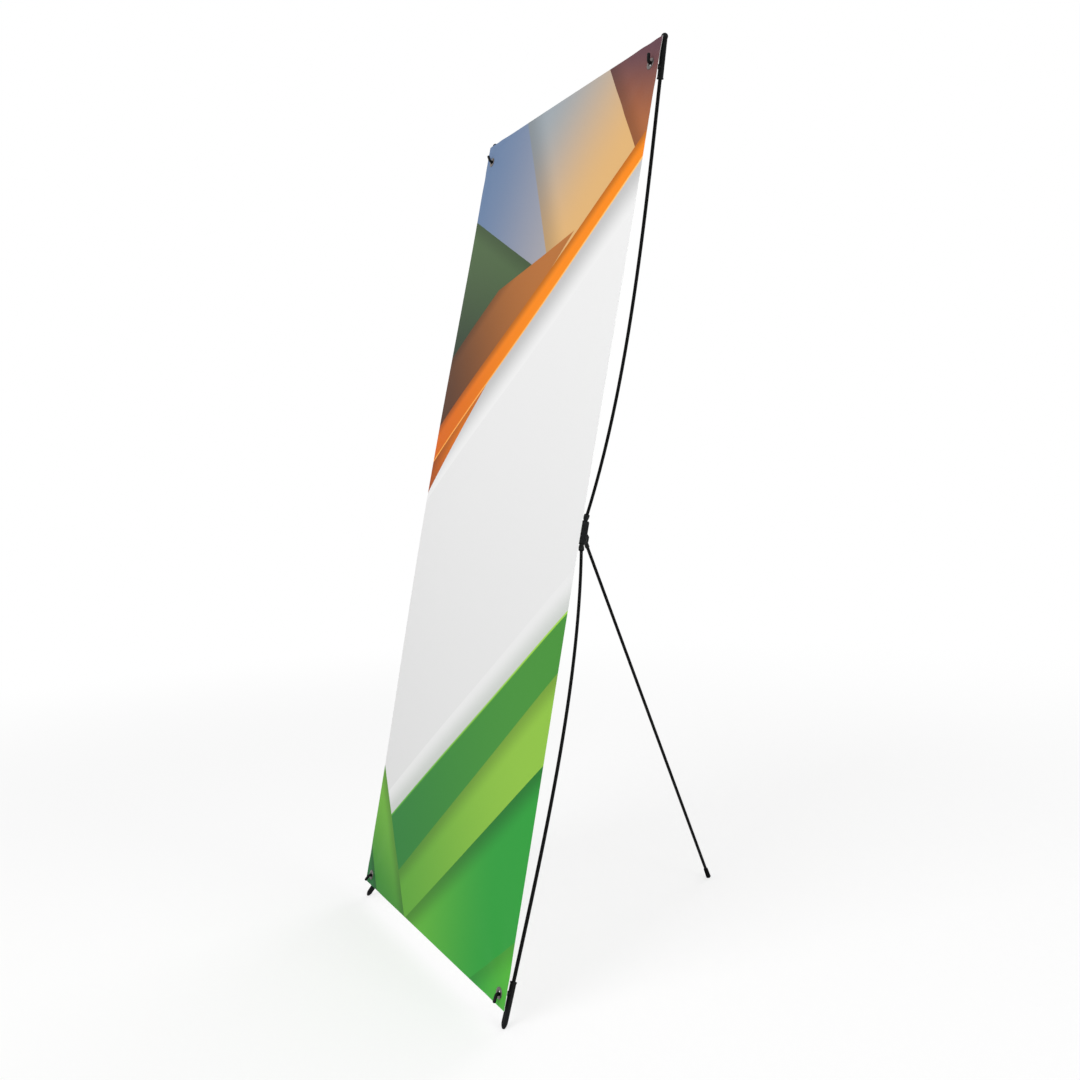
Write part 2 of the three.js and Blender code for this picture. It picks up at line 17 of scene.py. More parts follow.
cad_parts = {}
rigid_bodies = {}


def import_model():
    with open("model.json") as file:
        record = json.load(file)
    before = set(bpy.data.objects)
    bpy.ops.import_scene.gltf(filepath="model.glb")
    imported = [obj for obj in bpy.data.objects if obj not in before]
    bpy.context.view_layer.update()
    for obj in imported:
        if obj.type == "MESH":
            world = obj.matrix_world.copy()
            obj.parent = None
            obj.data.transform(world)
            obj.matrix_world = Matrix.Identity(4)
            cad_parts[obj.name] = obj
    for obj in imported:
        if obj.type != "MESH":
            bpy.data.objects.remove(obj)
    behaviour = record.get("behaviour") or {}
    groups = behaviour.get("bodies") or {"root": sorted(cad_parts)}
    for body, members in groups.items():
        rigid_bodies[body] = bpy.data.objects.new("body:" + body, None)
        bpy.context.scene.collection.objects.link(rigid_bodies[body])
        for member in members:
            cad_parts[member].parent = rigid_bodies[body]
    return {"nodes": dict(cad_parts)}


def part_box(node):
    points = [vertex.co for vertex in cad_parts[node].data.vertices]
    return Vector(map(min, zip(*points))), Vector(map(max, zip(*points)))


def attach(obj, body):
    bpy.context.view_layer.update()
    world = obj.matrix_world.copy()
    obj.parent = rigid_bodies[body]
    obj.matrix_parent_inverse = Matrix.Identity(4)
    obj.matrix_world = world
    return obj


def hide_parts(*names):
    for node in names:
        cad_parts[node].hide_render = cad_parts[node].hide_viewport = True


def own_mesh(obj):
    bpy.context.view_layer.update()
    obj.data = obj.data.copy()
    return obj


for left_over in list(bpy.data.objects):
    bpy.data.objects.remove(left_over)
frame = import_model()

log = logging.getLogger("x_banner_stand")

MM = 0.001
WHITE = (1.0, 1.0, 1.0, 1.0)

# Maps of the pieces whose finish follows their form
SHEET_MAP = "sheet"
ROD_MAP = "rod_mm"

Point = tuple[float, float]
Triple = tuple[float, float, float]
Profile = list[Point]
Colour = tuple[float, float, float, float]

# Turns for a form that is made along Z
NO_TURN = Matrix.Identity(4)
TO_FRONT = Matrix.Rotation(math.pi / 2, 4, "X")
TO_BACK = Matrix.Rotation(-math.pi / 2, 4, "X")
TO_SIDE = Matrix.Rotation(math.pi / 2, 4, "Y")

SIDES = {"right": 1, "left": -1}

# Flats round turned pieces, by how large and how near the eye they are
FINE = 64
MEDIUM = 48
COARSE = 40

# The share of its radius at which a half ball's last ring stays open
BLUNT = 0.02


def linear(hex_colour: str) -> Colour:
    """Turns an sRGB hex colour into the linear colour that a shader takes.

    Args:
        hex_colour: A hash and six hex digits.

    Returns:
        Red, green, blue and a full alpha.
    """
    parts = [int(hex_colour[i:i + 2], 16) / 255 for i in (1, 3, 5)]
    red, green, blue = (c / 12.92 if c <= 0.04045 else ((c + 0.055) / 1.055) ** 2.4 for c in parts)
    return (red, green, blue, 1.0)


def add_node(tree: NodeTree, kind: str, inputs: dict[int | str, Any] | None = None, **settings: Any) -> Node:
    """Adds a node to a tree with its settings, its values and its links.

    Args:
        tree: The tree that takes the node.
        kind: The node's type name.
        inputs: Values by input, each a plain value or another node's output to link.
        **settings: Properties of the node itself.

    Returns:
        The new node.
    """
    node = tree.nodes.new(kind)
    for name, value in settings.items():
        setattr(node, name, value)
    for key, value in (inputs or {}).items():
        if isinstance(value, NodeSocket):
            tree.links.new(value, node.inputs[key])
        else:
            node.inputs[key].default_value = value
    return node


def bare_tree(owner: Material | bpy.types.World) -> NodeTree:
    """Gives a material or the world an empty tree of its own.

    Args:
        owner: The material or the world.

    Returns:
        The tree.
    """
    owner.use_nodes = True
    owner.node_tree.nodes.clear()
    return owner.node_tree


def in_scene(name: str, data: bpy.types.ID) -> Object:
    """Makes an object of its data and links it to the scene.

    Args:
        name: The object's name.
        data: Its mesh, lamp or camera.

    Returns:
        The object.
    """
    made = bpy.data.objects.new(name, data)
    bpy.context.scene.collection.objects.link(made)
    return made


def shift(x: float, y: float, z: float) -> Matrix:
    """A step in millimetres, as a matrix in metres."""
    return Matrix.Translation(Vector((x, y, z)) * MM)


class Slot(Enum):
    """The record's material slots."""

    SHEET = "printed_sheet"
    HUB = "hub_plastic"
    SOCKET = "socket_plastic"
    CAP = "cap_plastic"
    ROD = "rod_glass_fibre"
    FOOT = "foot_rubber"
    EYELET = "eyelet_nickel"
    PIN = "pin_steel"


class Corner(Enum):
    """The four corners: the side is +1 on the right, and the level is +1 above."""

    UPPER_RIGHT = (1, 1)
    UPPER_LEFT = (-1, 1)
    LOWER_RIGHT = (1, -1)
    LOWER_LEFT = (-1, -1)

    def __init__(self, side: int, level: int) -> None:
        """Keeps the side, the level and the corner's name in the frame.

        Args:
            side: +1 on the right, -1 on the left.
            level: +1 above, -1 below.
        """
        self.side = side
        self.level = level
        self.word = self.name.lower()


@dataclass(frozen=True)
class Stance:
    """Shared sizes, in millimetres and radians as the frame has them, and the sub-assemblies' frames."""

    lean: float = math.radians(12.6)
    leg_spread: float = math.radians(21.3)
    hub_setback: float = 239.0
    sheet_width: float = 800.0
    sheet_height: float = 2000.0
    eyelet_side_inset: float = 30.0
    eyelet_top_inset: float = 50.0
    eyelet_bottom_inset: float = 24.0
    pivot_spacing_x: float = 23.0
    pivot_spacing_z: float = 44.0
    leg_pivot_setback: float = 14.0
    leg_pivot_drop: float = 14.0
    root_pitch: float = math.radians(3.6)
    tail_pitch: float = math.radians(16.2)
    rod_radius: float = 4.0
    socket_bore: float = 4.25
    eye_radius: float = 7.0
    pin_bore: float = 2.15
    eyelet_bore: float = 11.0
    slack: float = 0.3

    @property
    def eyelet_x(self) -> float:
        """Sheet's middle line to an eyelet."""
        return self.sheet_width / 2 - self.eyelet_side_inset

    @property
    def eyelet_top(self) -> float:
        """Sheet's lower edge to its upper eyelets."""
        return self.sheet_height - self.eyelet_top_inset

    @property
    def hub_height(self) -> float:
        """Sheet's lower edge to the hub's middle."""
        return (self.eyelet_top + self.eyelet_bottom_inset) / 2

    @property
    def arm_span(self) -> Point:
        """Pivot to eyelet, sideways and along the sheet."""
        rise = self.eyelet_top - self.hub_height - self.pivot_spacing_z / 2
        return (self.eyelet_x - self.pivot_spacing_x / 2, rise)

    @property
    def arm_reach(self) -> float:
        """Pivot to eyelet."""
        return math.hypot(*self.arm_span)

    @property
    def arm_angle(self) -> float:
        """Between an arm and the sheet's upright."""
        return math.atan2(*self.arm_span)

    def leg_pin_place(self) -> Vector:
        """The leg's pin in the row frame, in metres."""
        low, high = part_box("leg_pin")
        return (low + high) / 2

    def leaning(self) -> Matrix:
        """The sheet's frame: X right, Y behind the sheet, Z up along it, from its lower edge."""
        from_pin = shift(0, -self.hub_setback - self.leg_pivot_setback, self.leg_pivot_drop - self.hub_height)
        return Matrix.Translation(self.leg_pin_place()) @ Matrix.Rotation(-self.lean, 4, "X") @ from_pin

    def hub(self) -> Matrix:
        """The hub's frame, from its middle."""
        return self.leaning() @ shift(0, self.hub_setback, self.hub_height)

    def arm(self, corner: Corner) -> Matrix:
        """An arm's frame: Z outwards along the arm, from its pin.

        Args:
            corner: The arm's corner.

        Returns:
            The frame.
        """
        angle = corner.side * self.arm_angle
        pivot = shift(corner.side * self.pivot_spacing_x / 2, 0, corner.level * self.pivot_spacing_z / 2)
        return self.hub() @ pivot @ Matrix.Rotation(angle if corner.level > 0 else math.pi - angle, 4, "Y")

    def eyelet(self, corner: Corner) -> Matrix:
        """An eyelet's frame: Y behind the sheet, Z outwards along the arm."""
        return self.arm(corner) @ shift(0, -self.hub_setback, self.arm_reach)

    def leg(self) -> Matrix:
        """The leg's frame: Z down along the leg, from its pin."""
        turn = Matrix.Rotation(math.pi + self.lean + self.leg_spread, 4, "X")
        return self.hub() @ shift(0, self.leg_pivot_setback, -self.leg_pivot_drop) @ turn


STANCE = Stance()


def outwards(pitch: float, distance: float) -> Vector:
    """A step in an arm's frame, outwards and pitched forward, in millimetres."""
    return Vector((0, -math.sin(pitch), math.cos(pitch))) * distance


def arc(radius: float, centre: Point, steps: int, start: float = 0.0) -> Profile:
    """Points of an arc that ends at a right angle from the first axis.

    Args:
        radius: The arc's radius.
        centre: The arc's centre.
        steps: How many stretches it has.
        start: The angle at which it starts.

    Returns:
        The points, first to last.
    """
    angles = [start + (math.pi / 2 - start) * i / steps for i in range(steps + 1)]
    return [(centre[0] + radius * math.cos(a), centre[1] + radius * math.sin(a)) for a in angles]


def bezier(controls: Sequence[Vector], steps: int) -> list[Vector]:
    """Points of the Bezier curve with these control points.

    Args:
        controls: Its control points.
        steps: How many stretches it has.

    Returns:
        The points, first to last.
    """
    order = len(controls) - 1
    points = []
    for t in (i / steps for i in range(steps + 1)):
        shares = (math.comb(order, k) * (1 - t) ** (order - k) * t ** k for k in range(order + 1))
        points.append(sum((control * share for control, share in zip(controls, shares)), Vector((0, 0, 0))))
    return points


def drum(bore: float, radius: float, half: float, edge: float) -> Profile:
    """The outline of a chamfered drum, for turning.

    Args:
        bore: The radius of its bore, or 0.
        radius: Its outer radius.
        half: Half its length.
        edge: The width of its chamfers.

    Returns:
        The outline, closed where there is a bore.
    """
    rim = [(radius - edge, -half), (radius, -half + edge), (radius, half - edge), (radius - edge, half)]
    return [(bore, -half), *rim, (bore, half), *([(bore, -half)] if bore else [])]


@dataclass
class Workpiece:
    """A mesh in the making, in millimetres, in the frame of the sub-assembly that holds it."""

    mesh: bmesh.types.BMesh = field(default_factory=bmesh.new)

    def turn(self, profile: Profile, tilt: Matrix = NO_TURN, sides: int = MEDIUM) -> "Workpiece":
        """Turns a profile of radius and height round Z.

        Args:
            profile: Pairs that start and end on the axis, or that close on themselves.
            tilt: A matrix for the turned form.
            sides: Flats round the axis.

        Returns:
            The workpiece.
        """
        closed = profile[0] == profile[-1]
        rings = [[
            self.mesh.verts.new(tilt @ Vector((radius * math.cos(a), radius * math.sin(a), height)))
            for a in (2 * math.pi * k / sides for k in range(sides if radius else 1))
        ] for radius, height in (profile[:-1] if closed else profile)]
        return self.skin([*rings, rings[0]] if closed else rings)

    def sweep(self, path: Sequence[Vector], radius: float, sides: int = 24, steps: int = 6) -> "Workpiece":
        """Sweeps a round bar along a path across X, with a half ball at its last end.

        Args:
            path: Points of the centreline.
            radius: The bar's radius.
            sides: Flats round the bar.
            steps: Rings of the half ball.

        Returns:
            The workpiece.
        """
        turns = [math.pi / 2 * (k + 1) / steps for k in range(steps)]
        heading = (path[-1] - path[-2]).normalized()
        points = [*path, *(path[-1] + heading * radius * math.sin(a) for a in turns)]
        radii = [radius] * len(path) + [radius * max(math.cos(a), BLUNT) for a in turns]
        steps_on = zip([points[0], *points], [*points[1:], points[-1]])
        side = Vector((1, 0, 0))
        rings = []
        for point, reach, (before, after) in zip(points, radii, steps_on):
            up = side.cross(after - before).normalized()
            rings.append([
                self.mesh.verts.new(point + reach * (side * math.cos(a) + up * math.sin(a)))
                for a in (2 * math.pi * k / sides for k in range(sides))
            ])
        for end in (rings[0], rings[-1]):
            self.mesh.faces.new(end)
        return self.skin(rings)

    def skin(self, rings: Sequence[list[bmesh.types.BMVert]]) -> "Workpiece":
        """Lays faces from each ring to the next.

        Args:
            rings: Rings of vertices, all alike or single points.

        Returns:
            The workpiece.
        """
        for low, high in zip(rings, rings[1:]):
            for k in range(max(len(low), len(high))):
                around = ((low, k), (low, k + 1), (high, k + 1), (high, k))
                corners = list(dict.fromkeys(ring[j % len(ring)] for ring, j in around))
                if len(corners) > 2:
                    self.mesh.faces.new(corners)
        return self

    def block(self, size: Triple, centre: Triple = (0, 0, 0), edge: float = 0.0) -> "Workpiece":
        """Adds a block with bevelled edges.

        Args:
            size: Its width, depth and height.
            centre: Its middle.
            edge: The bevel's width.

        Returns:
            The workpiece.
        """
        place = Matrix.Translation(centre) @ Matrix.Diagonal((*size, 1))
        made = bmesh.ops.create_cube(self.mesh, size=1, matrix=place)
        if edge:
            edges = list({e for v in made["verts"] for e in v.link_edges})
            bmesh.ops.bevel(self.mesh, geom=edges, offset=edge, segments=2, affect="EDGES", profile=0.5)
        return self

    def move(self, place: Matrix) -> "Workpiece":
        """Moves all that is in the workpiece."""
        self.mesh.transform(place)
        return self

    def solid(self, turn_out: bool = True) -> Object:
        """Makes the workpiece an object, still in millimetres in its own frame.

        Args:
            turn_out: Whether its faces are turned outwards here.

        Returns:
            The object.
        """
        bmesh.ops.remove_doubles(self.mesh, verts=self.mesh.verts, dist=1e-5)
        if turn_out:
            bmesh.ops.recalc_face_normals(self.mesh, faces=self.mesh.faces)
        data = bpy.data.meshes.new("solid")
        self.mesh.to_mesh(data)
        self.mesh.free()
        return in_scene("solid", data)


def settled(source: Object, *helpers: Object) -> Object:
    """Turns an object with modifiers into a plain mesh.

    Args:
        source: The object.
        *helpers: Objects that its modifiers used, which are removed.

    Returns:
        The object, without modifiers.
    """
    graph = bpy.context.evaluated_depsgraph_get()
    graph.update()
    plain = bpy.data.meshes.new_from_object(source.evaluated_get(graph), depsgraph=graph)
    source.modifiers.clear()
    source.data = plain
    for helper in helpers:
        bpy.data.objects.remove(helper)
    return source


def combined(operation: str, source: Object, *others: Object) -> Object:
    """Unites closed solids with one, or cuts them out of it, and removes them.

    Args:
        operation: UNION or DIFFERENCE.
        source: The solid that stays.
        *others: The other solids.

    Returns:
        The solid that stays, as a plain mesh.
    """
    for other in others:
        step = source.modifiers.new(operation.lower(), "BOOLEAN")
        step.operation = operation
        step.solver = "EXACT"
        step.object = other
    return settled(source, *others)


def under_floor(place: Matrix, reach: float = 60.0) -> Object:
    """A block under the floor, in the frame of the piece that it cuts level.

    Args:
        place: The piece's frame, whose origin lies near the floor.
        reach: The block's width, in millimetres.

    Returns:
        The block.
    """
    beside = Matrix.Translation((place.translation.x, place.translation.y, 0)) @ Matrix.Scale(MM, 4)
    block = Workpiece().block((reach, reach, reach), (0, 0, -reach / 2))
    return block.move((place @ Matrix.Scale(MM, 4)).inverted() @ beside).solid()


@dataclass(frozen=True)
class Noise:
    """A noise pattern, and the stretch of its values on which a range of colour or gloss is laid."""

    size: float  # mm
    detail: float
    rough: float
    low: float = 0.0
    high: float = 1.0

    def pattern(self, place: NodeSocket) -> dict[str, Any]:
        """What a noise node takes to draw it."""
        scale = 1 / (self.size * MM)
        return {"Vector": place, "Scale": scale, "Detail": self.detail, "Roughness": self.rough}

    def span(self, height: NodeSocket, start: float, end: float) -> dict[str, Any]:
        """What a range node takes to lay start to end on it."""
        return {"Value": height, "From Min": self.low, "From Max": self.high, "To Min": start, "To Max": end}


@dataclass(frozen=True, kw_only=True)
class Finish:
    """A material with a grain in its gloss and its relief."""

    title: str
    slot: Slot
    roughness: float
    play: float = 0.0  # how far the roughness goes either way
    grain: Noise
    bump: float = 0.0
    depth: float = 0.0  # mm
    ior: float = 1.5
    shine: float = 0.5
    metallic: float = 0.0

    def place(self, tree: NodeTree) -> NodeSocket:
        """The place on the piece, in metres, that the patterns follow."""
        return add_node(tree, "ShaderNodeTexCoord").outputs["Object"]

    def colour(self, tree: NodeTree, place: NodeSocket) -> NodeSocket:
        """Adds the nodes of the colour and gives the last one's output."""
        raise NotImplementedError

    @cache
    def material(self) -> Material:
        """Makes the finish's material when it is first asked for.

        Returns:
            The material.
        """
        made = bpy.data.materials.new(self.title)
        tree = bare_tree(made)
        place = self.place(tree)
        grain = add_node(tree, "ShaderNodeTexNoise", self.grain.pattern(place)).outputs[0]
        wanted = {"Base Color": self.colour(tree, place), "Roughness": self.roughness,
                  "Metallic": self.metallic, "IOR": self.ior, "Specular IOR Level": self.shine}
        if self.play:
            gloss = self.grain.span(grain, self.roughness - self.play, self.roughness + self.play)
            wanted["Roughness"] = add_node(tree, "ShaderNodeMapRange", gloss).outputs[0]
        if self.bump:
            wanted["Normal"] = add_node(tree, "ShaderNodeBump", {
                "Strength": self.bump, "Distance": self.depth * MM, "Height": grain}).outputs[0]
        shader = add_node(tree, "ShaderNodeBsdfPrincipled", wanted)
        add_node(tree, "ShaderNodeOutputMaterial", {"Surface": shader.outputs[0]})
        return made


@dataclass(frozen=True, kw_only=True)
class CloudedFinish(Finish):
    """A finish whose pale tone clouds over its deep one."""

    deep: str
    pale: str
    cloud: Noise
    cover: float = 1.0  # the pale tone's largest share

    def colour(self, tree: NodeTree, place: NodeSocket) -> NodeSocket:
        """Adds the two tones.

        Args:
            tree: The material's tree.
            place: The place on the piece.

        Returns:
            The colour.
        """
        cloud = add_node(tree, "ShaderNodeTexNoise", self.cloud.pattern(place))
        share = add_node(tree, "ShaderNodeMapRange", self.cloud.span(cloud.outputs[0], 0.0, self.cover))
        return add_node(tree, "ShaderNodeMix", {
            "Factor": share.outputs[0], "A": linear(self.deep), "B": linear(self.pale)},
            data_type="RGBA").outputs["Result"]


@dataclass(frozen=True, kw_only=True)
class MouldedPlastic(CloudedFinish):
    """Plastic from a spark-eroded mould: an even fine grain that softens the shine, and faint flow marks."""

    play: float = 0.07
    grain: Noise = Noise(0.7, 2.0, 0.6, 0.25, 0.75)  # about twice the real grain, so that it shows
    bump: float = 0.55
    depth: float = 0.04
    ior: float = 1.53
    cloud: Noise = Noise(18, 3.0, 0.55, 0.3, 0.7)
    cover: float = 0.8


@dataclass(frozen=True, kw_only=True)
class GlassFibreRod(CloudedFinish):
    """Pultruded glass fibre in black resin: lengthwise strands draw the shine out in fine lines."""

    title: str = "pultruded_glass_fibre"
    slot: Slot = Slot.ROD
    deep: str = "#040505"
    pale: str = "#0d0e0f"
    roughness: float = 0.44
    play: float = 0.08
    grain: Noise = Noise(1, 3.0, 0.6, 0.25, 0.75)
    bump: float = 0.4
    depth: float = 0.03
    ior: float = 1.55
    shine: float = 0.06
    cloud: Noise = Noise(1, 3.0, 0.6)
    strand: float = 0.35  # mm between strands
    length: float = 60.0  # mm that a strand stays the same

    def place(self, tree: NodeTree) -> NodeSocket:
        """Draws the rod's own map out, so that a strand is one millimetre of noise.

        Args:
            tree: The material's tree.

        Returns:
            The place on the rod.
        """
        rod_map = add_node(tree, "ShaderNodeUVMap", uv_map=ROD_MAP).outputs[0]
        return add_node(tree, "ShaderNodeMapping", {
            "Vector": rod_map, "Scale": (MM / self.strand, MM / self.length, MM)}).outputs[0]


@dataclass(frozen=True, kw_only=True)
class FootRubber(CloudedFinish):
    """Moulded rubber: dull, with a little floor dust in its pores."""

    title: str = "moulded_rubber"
    slot: Slot = Slot.FOOT
    deep: str = "#060606"
    pale: str = "#171615"
    roughness: float = 0.82
    grain: Noise = Noise(0.5, 2.0, 0.5)
    bump: float = 0.5
    depth: float = 0.05
    ior: float = 1.52
    shine: float = 0.06
    cloud: Noise = Noise(5, 4.0, 0.65, 0.45, 0.8)
    cover: float = 0.5


@dataclass(frozen=True, kw_only=True)
class PlatedMetal(CloudedFinish):
    """Nickel or zinc plate on steel, bright or black: a little cloudy in its colour and its gloss."""

    play: float = 0.07
    grain: Noise = Noise(3, 4.0, 0.6, 0.3, 0.7)
    metallic: float = 1.0
    cloud: Noise = Noise(3, 4.0, 0.6)


@dataclass(frozen=True)
class Facet:
    """A straight-edged plane of the print, in metres from the sheet's lower left, counter-clockwise."""

    corners: tuple[Point, ...]
    start: str
    end: str
    run: tuple[Point, Point]  # where the start colour lies, and where the end colour does
    shade_edge: int | None = None  # the edge along which a fold's shade lies
    shade_width: float = 0.05
    shade_depth: float = 0.35


# Planes that reach the sheet's edge run 0.1 m past it
PRINT_FACETS = (
    # Header: cool and warm planes that meet at folds
    Facet(((-0.1, 1.148), (0.9, 1.873), (0.9, 2.1), (-0.1, 2.1)), "#667d9f", "#b3aaa6",
          ((0.0, 1.95), (0.8, 1.75))),
    Facet(((0.16, 2.1), (0.47, 1.562), (0.9, 1.66), (0.54, 2.1)), "#98a1a8", "#d9ad72",
          ((0.3, 2.0), (0.60, 1.66)), 0, 0.09, 0.30),
    Facet(((0.53, 2.1), (0.9, 1.58), (0.9, 2.1)), "#5d3d46", "#a86338",
          ((0.78, 2.0), (0.72, 1.80)), 0),
    Facet(((-0.1, 1.1), (0.45, 1.56), (-0.1, 1.84)), "#222b26", "#4c6440",
          ((0.0, 1.30), (0.14, 1.74)), 1),
    Facet(((-0.1, 1.05), (0.56, 1.64), (0.22, 1.56), (-0.1, 1.34)), "#4e3020", "#b06c33",
          ((0.0, 1.2), (0.5, 1.6)), 2, 0.04),
    # The shade that the ribbon casts on the field, the ribbon, its lit edge and its turned-under end
    Facet(((-0.1, 0.94), (0.9, 1.71), (0.9, 1.815), (-0.1, 1.045)), "#bdbdbd", "#e8e8e8",
          ((0.40, 1.43), (0.452, 1.362))),
    Facet(((-0.1, 1.045), (0.9, 1.815), (0.9, 1.873), (-0.1, 1.148)), "#d2640c", "#f1860f",
          ((0.0, 1.12), (0.5, 1.52)), 2, 0.03, 0.45),
    Facet(((-0.1, 1.045), (0.9, 1.815), (0.9, 1.821), (-0.1, 1.051)), "#f6a544", "#ffc06a",
          ((0.0, 1.12), (0.8, 1.74))),
    Facet(((-0.1, 0.93), (0.25, 1.314), (-0.1, 1.045)), "#9a430b", "#de7411",
          ((0.0, 1.0), (0.18, 1.24)), 1, 0.04, 0.3),
    # Footer: the shade on the field above it, then green planes and a pale ribbon
    Facet(((-0.1, 0.035), (0.9, 0.885), (0.9, 0.97), (-0.1, 0.12)), "#c4c8c4", "#e2e2e2",
          ((0.40, 0.46), (0.36, 0.508))),
    Facet(((-0.1, -0.1), (0.9, -0.1), (0.9, 0.885), (-0.1, 0.035)), "#2a7a35", "#448c36",
          ((0.0, 0.1), (0.75, 0.72))),
    Facet(((-0.1, 0.029), (0.9, 0.879), (0.9, 0.885), (-0.1, 0.035)), "#55a83c", "#9ccf4c",
          ((0.0, 0.1), (0.8, 0.8))),
    Facet(((0.0, -0.1), (0.17, -0.1), (0.9, 0.58), (0.9, 0.77)), "#5ba036", "#8abb42",
          ((0.15, 0.02), (0.7, 0.55)), 3, 0.05, 0.34),
    Facet(((0.17, -0.1), (0.9, -0.1), (0.9, 0.58)), "#5fae38", "#2c9739",
          ((0.25, 0.0), (0.72, 0.1)), 2, 0.06, 0.45),
    Facet(((0.52, -0.1), (0.9, -0.1), (0.9, 0.22)), "#2f9c3c", "#4fae38",
          ((0.6, 0.0), (0.8, 0.12)), 2, 0.05, 0.28),
    Facet(((-0.1, -0.1), (0.36, -0.1), (-0.1, 0.42)), "#35822f", "#6cab3b",
          ((0.0, 0.0), (0.08, 0.24)), 1, 0.04, 0.34),
    Facet(((-0.1, -0.1), (0.16, -0.1), (-0.1, 0.22)), "#1c6333", "#2c7f31",
          ((0.0, 0.0), (0.06, 0.10)), 1, 0.03, 0.38),
)


@dataclass(frozen=True, kw_only=True)
class PrintedFilm(Finish):
    """Coated PVC film, ink-jet printed: matt, faintly pebbled, with a soft wide shine. Its back is bare."""

    slot: Slot = Slot.SHEET
    roughness: float = 0.54
    play: float = 0.04
    grain: Noise = Noise(1.5, 2.0, 0.5, 0.3, 0.7)  # the real pebble is about 0.3 mm
    bump: float = 0.25
    depth: float = 0.03
    shine: float = 0.1
    field_low: str = "#d9d9d9"
    field_high: str = "#e8e8e8"
    field_rise: tuple[Point, Point] = ((0.0, 0.2), (0.0, 1.7))
    fold_shade: str = "#101410"
    bare: str = "#efefec"
    print_share: float = 1.0  # how much of the print shows

    def place(self, tree: NodeTree) -> NodeSocket:
        """Takes the sheet's own map, in metres from its lower left.

        Args:
            tree: The material's tree.

        Returns:
            The place on the sheet.
        """
        sheet_map = add_node(tree, "ShaderNodeUVMap", uv_map=SHEET_MAP).outputs[0]
        size = (STANCE.sheet_width * MM, STANCE.sheet_height * MM, 1.0)
        return add_node(tree, "ShaderNodeMapping", {"Vector": sheet_map, "Scale": size}).outputs[0]

    def ramp(self, tree: NodeTree, spot: NodeSocket, a: Point, b: Point) -> NodeSocket:
        """A value that is 0 at one point, 1 at another, and goes on evenly beyond them.

        Args:
            tree: The material's tree.
            spot: The place on the sheet, with 1 as its third part.
            a: Where the value is 0.
            b: Where it is 1.

        Returns:
            The value.
        """
        run = (b[0] - a[0], b[1] - a[1])
        span = run[0] ** 2 + run[1] ** 2
        slope = (run[0] / span, run[1] / span, -(run[0] * a[0] + run[1] * a[1]) / span)
        node = add_node(tree, "ShaderNodeVectorMath", {0: spot, 1: slope}, operation="DOT_PRODUCT")
        return node.outputs["Value"]

    def facet(self, tree: NodeTree, spot: NodeSocket, under: NodeSocket, facet: Facet) -> NodeSocket:
        """Lays one facet over what is under it.

        Args:
            tree: The material's tree.
            spot: The place on the sheet, with 1 as its third part.
            under: The colour under the facet.
            facet: The facet.

        Returns:
            The colour with the facet.
        """
        edges = []
        for a, b in zip(facet.corners, facet.corners[1:] + facet.corners[:1]):
            length = math.dist(a, b)
            metre_left = (a[0] - (b[1] - a[1]) / length, a[1] + (b[0] - a[0]) / length)
            edges.append(self.ramp(tree, spot, a, metre_left))
        inside = edges[0]
        for edge in edges[1:]:
            inside = add_node(tree, "ShaderNodeMath", {0: inside, 1: edge}, operation="MINIMUM").outputs[0]
        mask = add_node(tree, "ShaderNodeMath", {0: inside, 1: 0.0}, operation="GREATER_THAN")
        share = add_node(tree, "ShaderNodeMapRange", {"Value": self.ramp(tree, spot, *facet.run)},
                         interpolation_type="SMOOTHSTEP")
        colour = add_node(tree, "ShaderNodeMix", {
            "Factor": share.outputs[0], "A": linear(facet.start), "B": linear(facet.end)}, data_type="RGBA")
        if facet.shade_edge is not None:
            dark = add_node(tree, "ShaderNodeMapRange", {
                "Value": edges[facet.shade_edge], "From Max": facet.shade_width, "To Min": facet.shade_depth,
                "To Max": 0.0}, interpolation_type="SMOOTHSTEP")
            colour = add_node(tree, "ShaderNodeMix", {
                "Factor": dark.outputs[0], "A": colour.outputs["Result"], "B": linear(self.fold_shade)},
                data_type="RGBA")
        return add_node(tree, "ShaderNodeMix", {
            "Factor": mask.outputs[0], "A": under, "B": colour.outputs["Result"]},
            data_type="RGBA").outputs["Result"]

    def colour(self, tree: NodeTree, place: NodeSocket) -> NodeSocket:
        """Adds the print, or bare film through which it faintly shows.

        Args:
            tree: The material's tree.
            place: The place on the sheet, in metres.

        Returns:
            The colour.
        """
        spot = add_node(tree, "ShaderNodeVectorMath", {0: place, 1: (0.0, 0.0, 1.0)}).outputs[0]
        colour = add_node(tree, "ShaderNodeMix", {
            "Factor": self.ramp(tree, spot, *self.field_rise), "A": linear(self.field_low),
            "B": linear(self.field_high)}, data_type="RGBA").outputs["Result"]
        for facet in PRINT_FACETS:
            colour = self.facet(tree, spot, colour, facet)
        if self.print_share < 1:
            colour = add_node(tree, "ShaderNodeMix", {
                "Factor": self.print_share, "A": linear(self.bare), "B": colour},
                data_type="RGBA").outputs["Result"]
        return colour


# Near black with a grey bloom
HUB_FINISH = MouldedPlastic(title="hub_abs", slot=Slot.HUB, deep="#0c0e0f", pale="#15181a",
                            roughness=0.46, shine=0.12)
# A shade paler and duller than the hub, as nylon is
SOCKET_FINISH = MouldedPlastic(title="socket_nylon", slot=Slot.SOCKET, deep="#101213", pale="#191c1d",
                               roughness=0.5, shine=0.12)
# The darkest plastic, with a tighter shine on the ball and the horn
CAP_FINISH = MouldedPlastic(title="cap_nylon", slot=Slot.CAP, deep="#090a0b", pale="#111314",
                            roughness=0.44, shine=0.08)
ROD_FINISH = GlassFibreRod()
RUBBER_FINISH = FootRubber()
